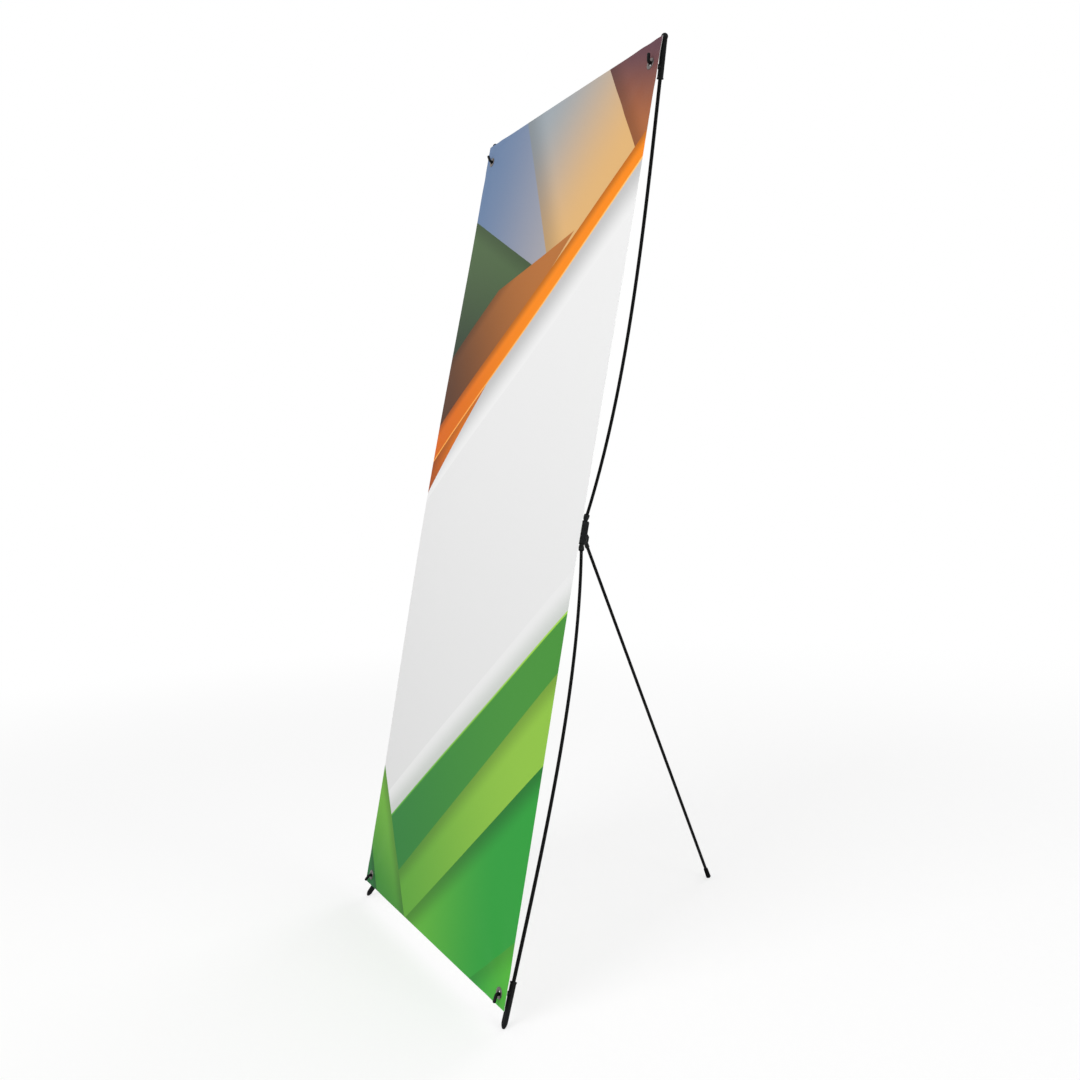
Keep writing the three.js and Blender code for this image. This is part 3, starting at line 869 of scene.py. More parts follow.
# Mid dark and warm
NICKEL_FINISH = PlatedMetal(title="nickel_plate", slot=Slot.EYELET, deep="#7d7775", pale="#554f4e",
                            roughness=0.33)
# Bright and slightly blue
STEEL_FINISH = PlatedMetal(title="zinc_plate", slot=Slot.PIN, deep="#a7abae", pale="#7f8488", roughness=0.35)
# Dark, with a dull glint
BLACK_STEEL_FINISH = PlatedMetal(title="black_zinc_plate", slot=Slot.PIN, deep="#2c2d2f", pale="#1c1d1f",
                                 roughness=0.45)
PRINT_FINISH = PrintedFilm(title="printed_film")
BACK_FINISH = PrintedFilm(title="film_back", print_share=0.07)


def fitted(piece: Object, name: str, place: Matrix, finish: Finish, body: str, *nodes: str,
           crease: float = 35.0) -> Object:
    """Moves a piece from its own frame in millimetres to the row frame, finishes it and puts it on its body.

    Args:
        piece: The piece, as a plain mesh.
        name: Its name.
        place: The sub-assembly's frame.
        finish: Its finish.
        body: The body it rides on.
        *nodes: The CAD nodes it stands for.
        crease: Edges sharper than this angle, in degrees, stay sharp.

    Returns:
        The piece, at the origin, unturned and unscaled.
    """
    piece.name = name
    piece.data.name = name
    piece.data.transform(place @ Matrix.Scale(MM, 4))
    for face in piece.data.polygons:
        face.use_smooth = True
    piece.data.set_sharp_from_angle(angle=math.radians(crease))
    piece.data.materials.clear()
    piece.data.materials.append(finish.material())
    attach(piece, body)
    if nodes:
        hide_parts(*nodes)
    log.info("%s: %d faces, on %s", piece.name, len(piece.data.polygons), body)
    return piece


@dataclass(frozen=True)
class DrawnTree:
    """A Geometry Nodes tree with named sizes that ends in real, coated geometry."""

    title: str
    finish: Finish

    def geometry(self, tree: NodeTree, given: Node) -> NodeSocket:
        """Adds the nodes of the form and gives the last one's output."""
        raise NotImplementedError

    def make(self, source: bpy.types.Mesh, **sizes: float) -> Object:
        """Builds the tree and draws with it once.

        Args:
            source: The mesh that it is given.
            **sizes: Its other inputs by name, in millimetres. A whole number is a count.

        Returns:
            The drawing, as a plain mesh.
        """
        tree = bpy.data.node_groups.new(self.title, "GeometryNodeTree")
        for way in ("INPUT", "OUTPUT"):
            tree.interface.new_socket("Geometry", in_out=way, socket_type="NodeSocketGeometry")
        keys = {}
        for size, value in sizes.items():
            kind = "NodeSocketInt" if isinstance(value, int) else "NodeSocketFloat"
            keys[size] = tree.interface.new_socket(size, in_out="INPUT", socket_type=kind).identifier
        drawn = self.geometry(tree, add_node(tree, "NodeGroupInput"))
        real = add_node(tree, "GeometryNodeRealizeInstances", {"Geometry": drawn})
        coated = add_node(tree, "GeometryNodeSetMaterial", {
            "Geometry": real.outputs[0], "Material": self.finish.material()})
        add_node(tree, "NodeGroupOutput", {0: coated.outputs[0]})
        made = in_scene(self.title, source)
        step = made.modifiers.new(self.title, "NODES")
        step.node_group = tree
        for size, value in sizes.items():
            step[keys[size]] = value
        return settled(made)


@dataclass(frozen=True)
class RowTree(DrawnTree):
    """A row along Z of round bars that start on it and run along Y, or of rings round it."""

    ring: bool = False
    section_sides: int = 10

    def geometry(self, tree: NodeTree, given: Node) -> NodeSocket:
        """Adds the row.

        Args:
            tree: The tree.
            given: Its input node, with Count, Pitch, Wire, and Span for a bar's length or a ring's radius.

        Returns:
            The row.
        """
        sizes = given.outputs
        step = add_node(tree, "ShaderNodeCombineXYZ", {"Z": sizes["Pitch"]})
        row = add_node(tree, "GeometryNodeMeshLine", {"Count": sizes["Count"], "Offset": step.outputs[0]})
        section = add_node(tree, "GeometryNodeCurvePrimitiveCircle", {
            "Resolution": self.section_sides, "Radius": sizes["Wire"]})
        if self.ring:
            run = add_node(tree, "GeometryNodeCurvePrimitiveCircle", {
                "Resolution": MEDIUM, "Radius": sizes["Span"]})
        else:
            end = add_node(tree, "ShaderNodeCombineXYZ", {"Y": sizes["Span"]})
            run = add_node(tree, "GeometryNodeCurvePrimitiveLine", {"End": end.outputs[0]})
        bar = add_node(tree, "GeometryNodeCurveToMesh", {
            "Curve": run.outputs[0], "Profile Curve": section.outputs[0], "Fill Caps": not self.ring})
        return add_node(tree, "GeometryNodeInstanceOnPoints", {
            "Points": row.outputs[0], "Instance": bar.outputs[0]}).outputs[0]


@dataclass(frozen=True)
class RodTree(DrawnTree):
    """A round rod along a path, with a map in millimetres round and along it."""

    sides: int = 28

    def geometry(self, tree: NodeTree, given: Node) -> NodeSocket:
        """Adds the rod.

        Args:
            tree: The tree.
            given: Its input node, with the path as its geometry, Radius and Sides.

        Returns:
            The rod.
        """
        path = add_node(tree, "GeometryNodeMeshToCurve", {"Mesh": given.outputs["Geometry"]})
        section = add_node(tree, "GeometryNodeCurvePrimitiveCircle", {
            "Resolution": given.outputs["Sides"], "Radius": given.outputs["Radius"]})
        measured = []
        for curve in (path, section):
            held = add_node(tree, "GeometryNodeCaptureAttribute", {"Geometry": curve.outputs[0]})
            held.capture_items.new("FLOAT", "Run")
            run = add_node(tree, "GeometryNodeSplineParameter").outputs["Length"]
            tree.links.new(run, held.inputs["Run"])
            measured.append(held.outputs)
        along, around = measured
        rod = add_node(tree, "GeometryNodeCurveToMesh", {
            "Curve": along[0], "Profile Curve": around[0], "Fill Caps": True})
        place = add_node(tree, "ShaderNodeCombineXYZ", {"X": around["Run"], "Y": along["Run"]})
        return add_node(tree, "GeometryNodeStoreNamedAttribute", {
            "Geometry": rod.outputs[0], "Name": ROD_MAP, "Value": place.outputs[0]},
            data_type="FLOAT2", domain="CORNER").outputs[0]

    def along(self, path: Sequence[Vector]) -> Object:
        """Draws a rod along a path.

        Args:
            path: Points of its middle line, in millimetres.

        Returns:
            The rod, as a plain mesh.
        """
        line = bpy.data.meshes.new("path")
        line.from_pydata([tuple(p) for p in path], [(i, i + 1) for i in range(len(path) - 1)], [])
        return self.make(line, Radius=STANCE.rod_radius, Sides=self.sides)


@dataclass(frozen=True)
class Banner:
    """The printed sheet: film stretched between four eyelets, bowed forward, slack at its corners."""

    thickness: float = 0.5
    bulge: float = 8.5
    twist: float = 4.5  # its left edge bows forward by this much more, and its right by less
    hole_radius: float = 6.8
    punch: float = 5.0
    still_radius: float = 16.0  # round an eyelet the film lies flat
    still_ease: float = 60.0
    ripple: float = 1.1
    ripple_start: float = 40.0
    ripple_reach: float = 150.0
    ripple_folds: int = 7
    ripple_phase: float = 1.3
    wave: float = 1.6
    wave_turn: float = 1.2 * math.pi  # from the middle to an edge
    wave_slant: float = 1.1
    curl: float = 2.2
    curl_power: int = 6
    columns: int = 72
    rows: int = 180

    def eyelets(self) -> list[Point]:
        """The eyelets' places on the sheet, from the middle of its lower edge."""
        return [(side * STANCE.eyelet_x, height) for side in (-1, 1)
                for height in (STANCE.eyelet_bottom_inset, STANCE.eyelet_top)]

    def stand_off(self, x: float, z: float) -> float:
        """How far the film stands behind its flat plane.

        Args:
            x: Place across the sheet, from its middle.
            z: Place up the sheet.

        Returns:
            The distance, negative in front.
        """
        across = x / (STANCE.sheet_width / 2)
        share = (z - STANCE.eyelet_bottom_inset) / (STANCE.eyelet_top - STANCE.eyelet_bottom_inset)
        share = min(max(share, 0.0), 1.0)
        swell = math.sin(math.pi * share)
        slack = self.wave * math.sin(self.wave_turn * across + self.wave_slant * share) * swell
        slack += self.curl * abs(across) ** self.curl_power * swell
        still = 1.0
        for ex, ez in self.eyelets():
            away = math.hypot(x - ex, z - ez)
            ease = min(max((away - self.still_radius) / self.still_ease, 0.0), 1.0)
            still *= ease * ease * (3 - 2 * ease)
            fade = math.exp(-away / self.ripple_reach) * min(away / self.ripple_start, 1.0)
            turn = self.ripple_folds * math.atan2(z - ez, x - ex) + self.ripple_phase * ex / STANCE.eyelet_x
            slack += self.ripple * fade * math.sin(turn)
        return still * slack - (self.bulge - self.twist * across) * swell ** 2

    def build(self) -> None:
        """Builds the sheet, with its holes, and puts it on its body."""
        work = Workpiece()
        mesh = work.mesh
        sheet_map = mesh.loops.layers.uv.new(SHEET_MAP)
        width, height = STANCE.sheet_width, STANCE.sheet_height
        front, back = ([[
            mesh.verts.new((x, self.stand_off(x, z) + face * self.thickness, z))
            for x in (width * (i / self.columns - 0.5) for i in range(self.columns + 1))
        ] for z in (height * j / self.rows for j in range(self.rows + 1))] for face in (-0.5, 0.5))
        printed = []
        bare = []
        for j in range(self.rows):
            for i in range(self.columns):
                printed.append([front[j][i], front[j][i + 1], front[j + 1][i + 1], front[j + 1][i]])
                bare.append([back[j][i], back[j + 1][i], back[j + 1][i + 1], back[j][i + 1]])
            bare.append([front[j][0], front[j + 1][0], back[j + 1][0], back[j][0]])
            bare.append([front[j][-1], back[j][-1], back[j + 1][-1], front[j + 1][-1]])
        for i in range(self.columns):
            bare.append([front[0][i], back[0][i], back[0][i + 1], front[0][i + 1]])
            bare.append([front[-1][i], front[-1][i + 1], back[-1][i + 1], back[-1][i]])
        for slot, faces in enumerate((printed, bare)):
            for corners in faces:
                made = mesh.faces.new(corners)
                made.material_index = slot
                for loop in made.loops:
                    loop[sheet_map].uv = (loop.vert.co.x / width + 0.5, loop.vert.co.z / height)
        radius, end = self.hole_radius, self.punch
        hole = [(0, -end), (radius, -end), (radius, end), (0, end)]
        punches = [Workpiece().turn(hole, Matrix.Translation((x, 0, z)) @ TO_FRONT).solid()
                   for x, z in self.eyelets()]
        film = combined("DIFFERENCE", work.solid(turn_out=False), *punches)
        slots = [face.material_index for face in film.data.polygons]
        sheet = fitted(film, "printed_banner", STANCE.leaning(), PRINT_FINISH, "banner", "banner_sheet",
                       crease=50)
        sheet.data.materials.append(BACK_FINISH.material())
        sheet.data.polygons.foreach_set("material_index", slots)
        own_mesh(sheet)


@dataclass(frozen=True)
class RodArm:
    """One of the four arms: the swivelling socket and the bowed rod in it."""

    corner: Corner
    eye_thickness: float = 7.4
    neck_width: float = 9.0
    neck_relief: float = 0.1  # by which it is thinner than the eye
    neck_edge: float = 0.35
    neck_inset: float = 0.8  # from the pin's bore
    neck_overlap: float = 1.5  # with the barrel
    wall: float = 2.9
    waist_wall: float = 2.1
    waist_length: float = 3.0
    shoulder: float = 0.5
    length: float = 14.0
    floor: float = 2.0
    end_round: float = 2.4
    end_steps: int = 8
    edge: float = 0.4
    mouth_edge: float = 0.3
    knuckle_gap: float = 0.8
    tail_spare: float = 5.0
    bend_steps: int = 48

    @property
    def start(self) -> float:
        """Where the socket's barrel begins.

        Returns:
            Its distance from the pin.
        """
        waist = STANCE.socket_bore + self.waist_wall
        angle = STANCE.arm_angle
        return (STANCE.eye_radius + self.knuckle_gap + waist * math.sin(angle)) / math.cos(angle)

    def socket(self) -> None:
        """Builds the socket: a drilled eye, a neck and a rounded barrel with a waist."""
        start = self.start
        end = start + self.length
        floor = start + self.floor
        bore = STANCE.socket_bore
        waist = bore + self.waist_wall
        outer = bore + self.wall
        waist_end = start + self.waist_length
        full = waist_end + outer - waist
        barrel = Workpiece().turn([
            (0, start), (waist - self.edge, start), (waist, start + self.edge),
            (waist, waist_end - self.mouth_edge), (outer - self.mouth_edge, full),
            (outer, full + self.shoulder),
            *arc(self.end_round, (outer - self.end_round, end - self.end_round), self.end_steps),
            (bore + self.mouth_edge, end), (bore, end - self.mouth_edge), (bore, floor), (0, floor),
        ], Matrix.Rotation(STANCE.root_pitch, 4, "X"))
        eye = Workpiece().turn(
            drum(STANCE.pin_bore, STANCE.eye_radius, self.eye_thickness / 2, self.edge), TO_FRONT)
        near = STANCE.pin_bore + self.neck_inset
        far = start + self.neck_overlap
        neck = Workpiece().block((self.neck_width, self.eye_thickness - self.neck_relief, far - near),
                                 (0, 0, (far + near) / 2), self.neck_edge)
        name = f"socket_{self.corner.word}"
        solid = combined("UNION", barrel.solid(), eye.solid(), neck.solid())
        fitted(solid, f"swivel_{name}", STANCE.arm(self.corner), SOCKET_FINISH,
               f"arm_{self.corner.word}", name)

    def rod(self, cap: "HookCap") -> None:
        """Builds the bowed rod: straight in the socket, one bend, straight where the cap slides.

        Args:
            cap: The cap on its end.
        """
        hook = Vector((0, cap.hook_setback - STANCE.hub_setback, STANCE.arm_reach + cap.horn_lift))
        start = outwards(STANCE.root_pitch, self.start + self.floor + STANCE.slack)
        mouth = outwards(STANCE.root_pitch, self.start + self.length)
        tail = hook + outwards(STANCE.tail_pitch, -cap.heel - cap.travel - self.tail_spare)
        end = hook + outwards(STANCE.tail_pitch, cap.grip - cap.heel)
        handle = (mouth - tail).length / 3
        near = mouth + outwards(STANCE.root_pitch, handle)
        far = tail - outwards(STANCE.tail_pitch, handle)
        bend = bezier([mouth, near, far, tail], self.bend_steps)
        name = f"rod_{self.corner.word}"
        fitted(RodTree("rod_along_path", ROD_FINISH).along([start, *bend, end]), f"bowed_{name}",
               STANCE.arm(self.corner), ROD_FINISH, f"arm_{self.corner.word}", name)


@dataclass(frozen=True)
class Eyelet:
    """A pressed eyelet in a corner of the sheet: flanged tube, washer and rolled lip."""

    corner: Corner
    wall: float = 1.0
    flange_reach: float = 5.5
    plate: float = 0.8
    lip_reach: float = 1.4
    lip_thickness: float = 0.9
    half_sheet: float = 0.25
    # The press's roundings, as pairs of steps in from an edge and down from a face
    mouth_round: tuple[Point, ...] = ((0.0, 0.5), (0.15, 0.15), (0.6, 0.0))
    rim_round: tuple[Point, ...] = ((0.9, 0.0), (0.35, 0.15), (0.0, 0.5))
    lip_round: tuple[Point, ...] = ((0.1, 0.45), (0.6, 0.05))
    lip_mouth: Point = (0.3, 0.35)
    washer_edge: float = 0.1
    washer_rim: float = 0.3

    @property
    def seat(self) -> float:
        """Middle of the film to the metal on either side."""
        return self.half_sheet + STANCE.slack

    @property
    def face(self) -> float:
        """Middle of the film to the flange's outer face."""
        return self.seat + self.plate

    def build(self) -> None:
        """Builds the eyelet and its washer, and puts them on their body."""
        inner = STANCE.eyelet_bore / 2
        barrel = inner + self.wall
        flange = barrel + self.flange_reach
        seat, face = self.seat, self.face
        lip_start = face + STANCE.slack
        lip_end = lip_start + self.lip_thickness
        lip = barrel + self.lip_reach
        mouth = [(inner + inset, drop - face) for inset, drop in self.mouth_round]
        tube = [
            *mouth, *((flange - inset, drop - face) for inset, drop in self.rim_round),
            (flange, -seat), (barrel, -seat), (barrel, lip_start), (lip, lip_start),
            *((lip - inset, lip_end - drop) for inset, drop in self.lip_round),
            (barrel - self.lip_mouth[0], lip_end), (inner, lip_end - self.lip_mouth[1]), mouth[0],
        ]
        hole = barrel + STANCE.slack
        edge, rim = self.washer_edge, self.washer_rim
        washer = [(hole, seat), (flange - edge, seat), (flange, seat + edge), (flange, face - rim),
                  (flange - rim, face), (hole + edge, face), (hole, face - edge), (hole, seat)]
        for word, profile in (("eyelet", tube), ("eyelet_washer", washer)):
            name = f"{word}_{self.corner.word}"
            fitted(Workpiece().turn(profile, TO_BACK, FINE).solid(), f"pressed_{name}",
                   STANCE.eyelet(self.corner), NICKEL_FINISH, f"cap_{self.corner.word}", name, crease=50)


@dataclass(frozen=True)
class HookCap:
    """A rod's end cap with its hook. An upper one ends in a ball, a lower one in a pointed foot."""

    corner: Corner
    fit: float = 0.5
    wall: float = 2.0
    grip: float = 11.0
    spare: float = 1.5
    tip: float = 8.0
    point: float = 12.0
    # The pointed foot, as shares of the sleeve's radius and of the point's length
    point_form: tuple[Point, ...] = (
        (1, 0), (0.985, 0.12), (0.95, 0.22), (0.875, 0.4), (0.78, 0.58), (0.66, 0.74), (0.5, 0.88), (0.3, 1))
    heel: float = 22.3
    lip_reach: float = 0.8
    lip_length: float = 3.0
    lip_edge: float = 0.3
    lip_back_edge: float = 0.2
    mouth_edge: float = 0.4
    drill_start: float = 1.0  # outside the mouth
    tip_setback: float = 8.5
    knob_reach: float = 1.0
    knob_steps: int = 14
    horn_diameter: float = 7.0
    horn_root: float = 0.8  # in the sleeve's wall
    horn_bend: float = 4.0
    horn_steps: int = 10
    horn_tip_length: float = 10.0
    horn_tip_pitch: float = math.radians(20)
    horn_reach: float = 1.0
    boss_root: float = 0.7  # in the sleeve's wall
    boss_wall: float = 1.6
    boss_reach: float = 3.0
    boss_edge: float = 0.6

    @property
    def travel(self) -> float:
        """How far the cap slides along its rod when the stand folds."""
        return STANCE.arm_reach * (1 - math.cos(STANCE.arm_angle)) / math.cos(STANCE.tail_pitch)

    @property
    def radius(self) -> float:
        """The sleeve's radius."""
        return STANCE.rod_radius + self.fit + self.wall

    @property
    def to_tip(self) -> float:
        """Hook to tip."""
        return self.grip + self.travel + self.spare + self.tip - self.heel

    @property
    def hook_setback(self) -> float:
        """Sheet to the sleeve's middle at the hook."""
        return self.tip_setback + self.to_tip * math.sin(STANCE.tail_pitch)

    @property
    def horn_lift(self) -> float:
        """Eyelet's middle to the horn's, which bears on its outer side."""
        return (STANCE.eyelet_bore - self.horn_diameter) / 2 - STANCE.slack

    def end_profile(self) -> Profile:
        """The outline of the ball or of the pointed foot.

        Returns:
            The outline, from the sleeve to the axis.
        """
        tip = (0, self.to_tip)
        if self.corner.level < 0:
            return [*((self.radius * r, self.to_tip - self.point * (1 - z)) for r, z in self.point_form), tip]
        ball = self.radius + self.knob_reach
        neck = -math.acos(self.radius / ball)
        return [*arc(ball, (0, self.to_tip - ball), self.knob_steps, neck)[:-1], tip]

    def build(self) -> None:
        """Builds the cap and puts it on its body."""
        bore = STANCE.rod_radius + self.fit
        lip = self.radius + self.lip_reach
        mouth = -self.heel
        floor = self.to_tip - self.tip
        at_hook = Matrix.Translation((0, self.hook_setback, self.horn_lift))
        on_axis = at_hook @ Matrix.Rotation(STANCE.tail_pitch, 4, "X")
        sleeve = Workpiece().turn([
            (0, mouth), (lip - self.lip_edge, mouth), (lip, mouth + self.lip_edge),
            (lip, mouth + self.lip_length - self.lip_back_edge),
            (self.radius, mouth + self.lip_length + self.lip_reach), *self.end_profile(),
        ], on_axis)
        outside = mouth - self.drill_start
        drill = Workpiece().turn([
            (0, outside), (bore + self.mouth_edge + self.drill_start, outside),
            (bore, mouth + self.mouth_edge), (bore, floor), (0, floor),
        ], on_axis)
        start = -Eyelet(self.corner).face - self.horn_reach
        root, bend, corner = (Vector((0, y, self.horn_lift)) for y in (
            self.hook_setback - bore - self.horn_root, start, start - self.horn_bend))
        rise = corner + outwards(self.horn_tip_pitch, self.horn_bend)
        top = corner + outwards(self.horn_tip_pitch, self.horn_bend + self.horn_tip_length)
        path = [root, *bezier([bend, corner, rise], self.horn_steps), top]
        horn = Workpiece().sweep(path, self.horn_diameter / 2)
        wide = self.horn_diameter / 2 + self.boss_wall
        boss_start = bore + self.boss_root
        boss_end = self.radius / math.cos(STANCE.tail_pitch) + self.boss_reach
        boss = Workpiece().turn([
            (0, boss_start), (wide, boss_start), (wide, boss_end - self.boss_edge),
            (wide - self.boss_edge, boss_end), (0, boss_end),
        ], at_hook @ TO_FRONT, COARSE)
        place = STANCE.eyelet(self.corner)
        solid = combined("UNION", sleeve.solid(), horn.solid(), boss.solid())
        solid = combined("DIFFERENCE", solid, drill.solid())
        if self.corner.level < 0:
            solid = combined("DIFFERENCE", solid, under_floor(place))
        name = f"hook_cap_{self.corner.word}"
        fitted(solid, f"rod_end_{name}", place, CAP_FINISH, f"cap_{self.corner.word}", name)


@dataclass(frozen=True)
class Hub:
    """The folding hub: two moulded shells, four hidden pins and two screws, and the leg's pin."""

    edge: float = 0.35
    flat_angle: float = math.radians(1)
    edge_angle: float = math.radians(40)
    side_wall: float = 1.7
    half_depth: float = 9.0
    ridge_count: int = 4
    ridge_pitch: float = 4.2
    ridge_length: float = 40.0
    ridge_wire: float = 0.8
    screw_rise: float = 10.0
    screw_spacing: float = 24.0
    head_radius: float = 3.6
    head_thickness: float = 2.2
    head_dome: float = 0.7
    dome_steps: int = 6
    head_sink: float = 0.6
    shank_radius: float = 1.5
    shank_grip: float = 5.0
    shank_point: float = 1.0
    recess_span: float = 4.0
    recess_width: float = 0.9
    recess_depth: float = 1.2
    recess_turn: float = math.radians(20)
    leg_pin_radius: float = 2.0
    leg_pin_edge: float = 0.4

    def shells(self) -> None:
        """Builds the shells: the frame's own forms with their edges rounded as a mould leaves them."""
        for word in ("front", "rear"):
            node = f"hub_{word}_shell"
            work = Workpiece()
            mesh = work.mesh
            mesh.from_mesh(frame["nodes"][node].data)
            bmesh.ops.remove_doubles(mesh, verts=mesh.verts, dist=1e-6)
            mesh.normal_update()
            bmesh.ops.dissolve_limit(mesh, angle_limit=self.flat_angle, verts=mesh.verts, edges=mesh.edges)
            inner = (e for e in mesh.edges if len(e.link_faces) == 2)
            sharp = [e for e in inner if e.calc_face_angle(0) > self.edge_angle]
            bmesh.ops.bevel(mesh, geom=sharp, offset=self.edge * MM, segments=2, affect="EDGES", profile=0.6,
                            clamp_overlap=True)
            cover = work.move(Matrix.Scale(1 / MM, 4)).solid(turn_out=False)
            fitted(cover, f"hub_{word}_cover", NO_TURN, HUB_FINISH, "hub", node, crease=30)

    def ridges(self) -> None:
        """Builds the grip ridges on the hub's two sides."""
        across = STANCE.pivot_spacing_x / 2 + STANCE.eye_radius + STANCE.slack + self.side_wall
        rear = (self.ridge_count - 1) * self.ridge_pitch / 2
        for word, side in SIDES.items():
            first = shift(side * across, rear, -self.ridge_length / 2)
            row = RowTree("side_ridges", HUB_FINISH).make(
                bpy.data.meshes.new("row"), Count=self.ridge_count, Pitch=self.ridge_pitch,
                Span=self.ridge_length, Wire=self.ridge_wire)
            fitted(row, f"hub_ridges_{word}", STANCE.hub() @ first @ TO_FRONT, HUB_FINISH, "hub")

    def screws(self) -> None:
        """Builds the two cross-recessed screws."""
        length = self.half_depth - self.head_sink + self.shank_grip
        turns = [math.pi / 2 * i / self.dome_steps for i in range(self.dome_steps + 1)]
        profile = [
            *((self.head_radius * math.sin(a), self.head_dome * (1 - math.cos(a))) for a in turns),
            (self.head_radius, self.head_thickness), (self.shank_radius, self.head_thickness),
            (self.shank_radius, length - self.shank_point), (0, length),
        ]
        blade = (self.recess_span, 2 * self.recess_depth, self.recess_width)
        for word, side in SIDES.items():
            screw = Workpiece().turn(profile, TO_FRONT, COARSE).solid()
            blades = [Workpiece().block(blade).move(Matrix.Rotation(turn + self.recess_turn, 4, "Y")).solid()
                      for turn in (0, math.pi / 2)]
            head = shift(side * self.screw_spacing / 2, self.half_depth - self.head_sink, self.screw_rise)
            name = f"hub_screw_{word}"
            fitted(combined("DIFFERENCE", screw, *blades), f"cross_{name}", STANCE.hub() @ head,
                   STEEL_FINISH, "hub", name)

    def leg_pin(self) -> None:
        """Builds the leg's pin, with chamfered ends."""
        low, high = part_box("leg_pin")
        pin = drum(0, self.leg_pin_radius, (high.x - low.x) / 2 / MM, self.leg_pin_edge)
        fitted(Workpiece().turn(pin, TO_SIDE, COARSE).solid(), "leg_hinge_pin",
               Matrix.Translation((low + high) / 2), BLACK_STEEL_FINISH, "hub", "leg_pin")

    def build(self) -> None:
        """Builds the hub's pieces, and gives the arm pins, which keep the frame's mesh, a better material."""
        self.shells()
        self.ridges()
        self.screws()
        self.leg_pin()
        for corner in Corner:
            materials = frame["nodes"][f"arm_pin_{corner.word}"].data.materials
            materials.clear()
            materials.append(STEEL_FINISH.material())


@dataclass(frozen=True)
class RearLeg:
    """The rear leg: its socket, straight rod and rubber foot."""

    eye_wall: float = 3.5
    eye_edge: float = 0.35
    socket_wall: float = 1.3
    socket_start: float = 0.5  # from the pin's bore
    socket_length: float = 24.0
    socket_floor: float = 9.5
    socket_round: float = 1.0
    socket_steps: int = 6
    rod_steps: int = 24
    rubber_length: float = 27.0
    rubber_wall: float = 1.0
    rubber_flare: float = 1.0
    rubber_floor: float = 6.0
    rubber_round: float = 2.5
    rubber_steps: int = 10
    foot_flat: float = 0.8
    groove_start: float = 2.0  # from the foot's mouth
    groove_rise: float = 0.12
    groove_count: int = 4
    groove_pitch: float = 2.6
    groove_wire: float = 0.35

    @property
    def rubber_bore(self) -> float:
        """The foot's bore."""
        return STANCE.rod_radius + STANCE.slack

    def outer_profile(self) -> Profile:
        """The outline of the foot's outside.

        Returns:
            The outline, from its mouth to its end.
        """
        mouth = self.rubber_bore + self.rubber_wall
        corner = (mouth + self.rubber_flare - self.rubber_round, -self.rubber_round)
        return [(mouth, -self.rubber_length), *arc(self.rubber_round, corner, self.rubber_steps), (0, 0)]

    @property
    def length(self) -> float:
        """The leg's length, with the foot's lowest point, which the flat cuts off.

        Returns:
            The distance from the pin to the foot's end.
        """
        down, aside = math.cos(STANCE.leg_spread), math.sin(STANCE.leg_spread)
        reach = max(z * down + r * aside for r, z in self.outer_profile())
        return (STANCE.leg_pin_place().z / MM + self.foot_flat - reach) / down

    def socket(self) -> None:
        """Builds the leg's socket."""
        outer = STANCE.socket_bore + self.socket_wall
        start = STANCE.pin_bore + self.socket_start
        corner = (outer - self.socket_round, self.socket_length - self.socket_round)
        barrel = Workpiece().turn([
            (0, start), (outer, start), *arc(self.socket_round, corner, self.socket_steps),
            (STANCE.socket_bore, self.socket_length), (STANCE.socket_bore, self.socket_floor),
            (0, self.socket_floor),
        ], sides=COARSE)
        eye = drum(STANCE.pin_bore, STANCE.pin_bore + self.eye_wall, outer, self.eye_edge)
        hinge = Workpiece().turn(eye, TO_SIDE, COARSE)
        solid = combined("UNION", barrel.solid(), hinge.solid())
        fitted(solid, "swivel_leg_socket", STANCE.leg(), SOCKET_FINISH, "leg", "leg_socket")

    def rod(self) -> None:
        """Builds the straight rod."""
        start = self.socket_floor + STANCE.slack
        end = self.length - self.rubber_floor - STANCE.slack
        path = [Vector((0, 0, start + (end - start) * i / self.rod_steps)) for i in range(self.rod_steps + 1)]
        rod = RodTree("rod_along_path", ROD_FINISH).along(path)
        fitted(rod, "straight_leg_rod", STANCE.leg(), ROD_FINISH, "leg", "leg_rod")

    def foot(self) -> None:
        """Builds the rubber foot, cut level where it meets the floor, with its moulded rings."""
        place = STANCE.leg() @ shift(0, 0, self.length)
        rubber = Workpiece().turn([
            (0, -self.rubber_floor), (self.rubber_bore, -self.rubber_floor),
            (self.rubber_bore, -self.rubber_length), *self.outer_profile(),
        ])
        solid = combined("DIFFERENCE", rubber.solid(), under_floor(place))
        rings = RowTree("foot_rings", RUBBER_FINISH, ring=True).make(
            bpy.data.meshes.new("row"), Count=self.groove_count, Pitch=self.groove_pitch,
            Span=self.rubber_bore + self.rubber_wall + self.groove_rise, Wire=self.groove_wire)
        first = place @ shift(0, 0, self.groove_start - self.rubber_length)
        fitted(rings, "leg_foot_rings", first, RUBBER_FINISH, "leg")
        fitted(solid, "rubber_leg_foot", place, RUBBER_FINISH, "leg", "leg_foot")

    def build(self) -> None:
        """Builds the leg's pieces."""
        self.socket()
        self.rod()
        self.foot()


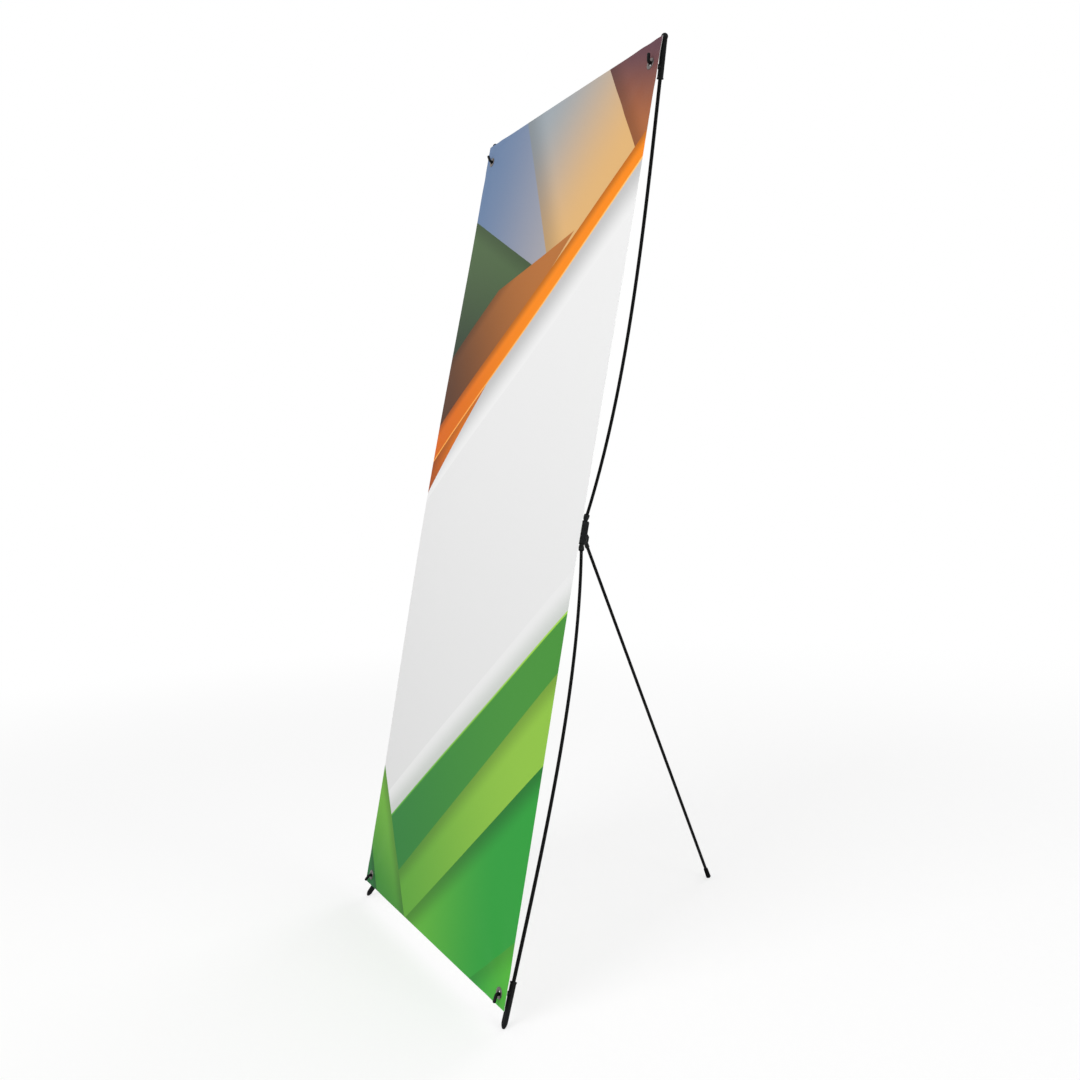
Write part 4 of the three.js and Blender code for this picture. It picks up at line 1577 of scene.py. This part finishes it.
@dataclass(frozen=True)
class PhotoCamera:
    """The camera of the photograph, in the row frame: metres and radians."""

    place: Triple = (2.18740, -1.28674, 1.08815)
    yaw: float = math.radians(60.9948)
    pitch: float = math.radians(-3.4484)
    roll: float = math.radians(-1.6789)
    focal_px: float = 1038.915
    frame_px: float = 1080.0
    sensor: float = 36.0
    clip_end: float = 60.0

    def build(self) -> None:
        """Builds the camera and makes it the scene's."""
        turn = Matrix.Identity(4)
        for angle, axis in ((self.yaw, "Z"), (math.pi / 2 + self.pitch, "X"), (self.roll, "Z")):
            turn = turn @ Matrix.Rotation(angle, 4, axis)
        data = bpy.data.cameras.new("photo_camera")
        data.sensor_width = self.sensor
        data.lens = self.focal_px / self.frame_px * self.sensor
        data.clip_end = self.clip_end
        made = in_scene("photo_camera", data)
        made.matrix_world = Matrix.Translation(self.place) @ turn
        bpy.context.scene.camera = made


@dataclass(frozen=True)
class Studio:
    """A pale floor, a white surround and soft lamps at a plain level, in metres and watts."""

    surround: float = 0.62
    floor_colour: str = "#fbfbfb"
    floor_size: float = 80.0
    near: float = 1.4  # from the stand to where the floor begins to fade into the background
    far: float = 4.5
    near_glow: float = 0.6
    aim: Triple = (0.0, 0.0, 1.0)
    lamps: tuple[tuple[str, Triple, float, float], ...] = (  # name, place, side, power
        ("front_lamp", (1.2, -4.2, 3.2), 2.6, 95.0),
        ("side_lamp", (4.4, 1.2, 2.4), 2.2, 50.0),
        ("back_lamp", (-2.0, 4.0, 3.4), 2.4, 50.0),
    )

    def light(self) -> None:
        """Builds the soft square lamps, all aimed at the stand's middle."""
        for name, place, side, power in self.lamps:
            data = bpy.data.lights.new(name, "AREA")
            data.shape = "SQUARE"
            data.size = side
            data.energy = power
            made = in_scene(name, data)
            made.location = place
            made.rotation_mode = "QUATERNION"
            made.rotation_quaternion = (Vector(self.aim) - Vector(place)).to_track_quat("-Z", "Y")

    def shown(self, tree: NodeTree) -> NodeSocket:
        """1 for rays that show the surround as it is: from the camera, off gloss and through glass.

        Args:
            tree: The tree that takes the nodes.

        Returns:
            The value.
        """
        path = add_node(tree, "ShaderNodeLightPath")
        seen = add_node(tree, "ShaderNodeMath", {
            0: path.outputs["Is Camera Ray"], 1: path.outputs["Is Glossy Ray"]}, operation="MAXIMUM")
        return add_node(tree, "ShaderNodeMath", {
            0: seen.outputs[0], 1: path.outputs["Is Transmission Ray"]}, operation="MAXIMUM").outputs[0]

    def world(self) -> None:
        """White where it is seen, and softer where it lights."""
        made = bpy.data.worlds.new("studio_surround")
        tree = bare_tree(made)
        level = add_node(tree, "ShaderNodeMapRange", {"Value": self.shown(tree), "To Min": self.surround})
        back = add_node(tree, "ShaderNodeBackground", {"Color": WHITE, "Strength": level.outputs[0]})
        add_node(tree, "ShaderNodeOutputWorld", {"Surface": back.outputs[0]})
        bpy.context.scene.world = made

    def floor(self) -> None:
        """A pale floor that goes to white in the distance and keeps the stand's shadow."""
        made = bpy.data.materials.new("studio_floor")
        tree = bare_tree(made)
        paint = add_node(tree, "ShaderNodeBsdfDiffuse", {"Color": linear(self.floor_colour)})
        glow = add_node(tree, "ShaderNodeEmission", {"Color": WHITE, "Strength": 1.0})
        place = add_node(tree, "ShaderNodeTexCoord").outputs["Object"]
        away = add_node(tree, "ShaderNodeVectorMath", {0: place}, operation="LENGTH")
        fade = add_node(tree, "ShaderNodeMapRange", {
            "Value": away.outputs["Value"], "From Min": self.near, "From Max": self.far,
            "To Min": self.near_glow}, interpolation_type="SMOOTHSTEP")
        share = add_node(tree, "ShaderNodeMath", {
            0: self.shown(tree), 1: fade.outputs[0]}, operation="MULTIPLY")
        mixed = add_node(tree, "ShaderNodeMixShader", {
            0: share.outputs[0], 1: paint.outputs[0], 2: glow.outputs[0]})
        add_node(tree, "ShaderNodeOutputMaterial", {"Surface": mixed.outputs[0]})
        half = self.floor_size / 2
        data = bpy.data.meshes.new("studio_floor")
        data.from_pydata([(-half, -half, 0), (half, -half, 0), (half, half, 0), (-half, half, 0)], [],
                         [(0, 1, 2, 3)])
        data.materials.append(made)
        plane = in_scene("studio_floor", data)

    def build(self) -> None:
        """Builds the surround, the floor and the lamps, and sets the plain view."""
        self.world()
        self.floor()
        self.light()
        bpy.context.scene.view_settings.view_transform = "Standard"


def main() -> None:
    """Builds the stand's looks round the frame, the studio and the camera."""
    logging.basicConfig(level=logging.INFO, format="%(name)s %(message)s")
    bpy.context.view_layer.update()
    PhotoCamera().build()
    Studio().build()
    Banner().build()
    Hub().build()
    for corner in Corner:
        cap = HookCap(corner)
        arm = RodArm(corner)
        arm.socket()
        arm.rod(cap)
        cap.build()
        Eyelet(corner).build()
    RearLeg().build()


if __name__ == "__main__":
    main()
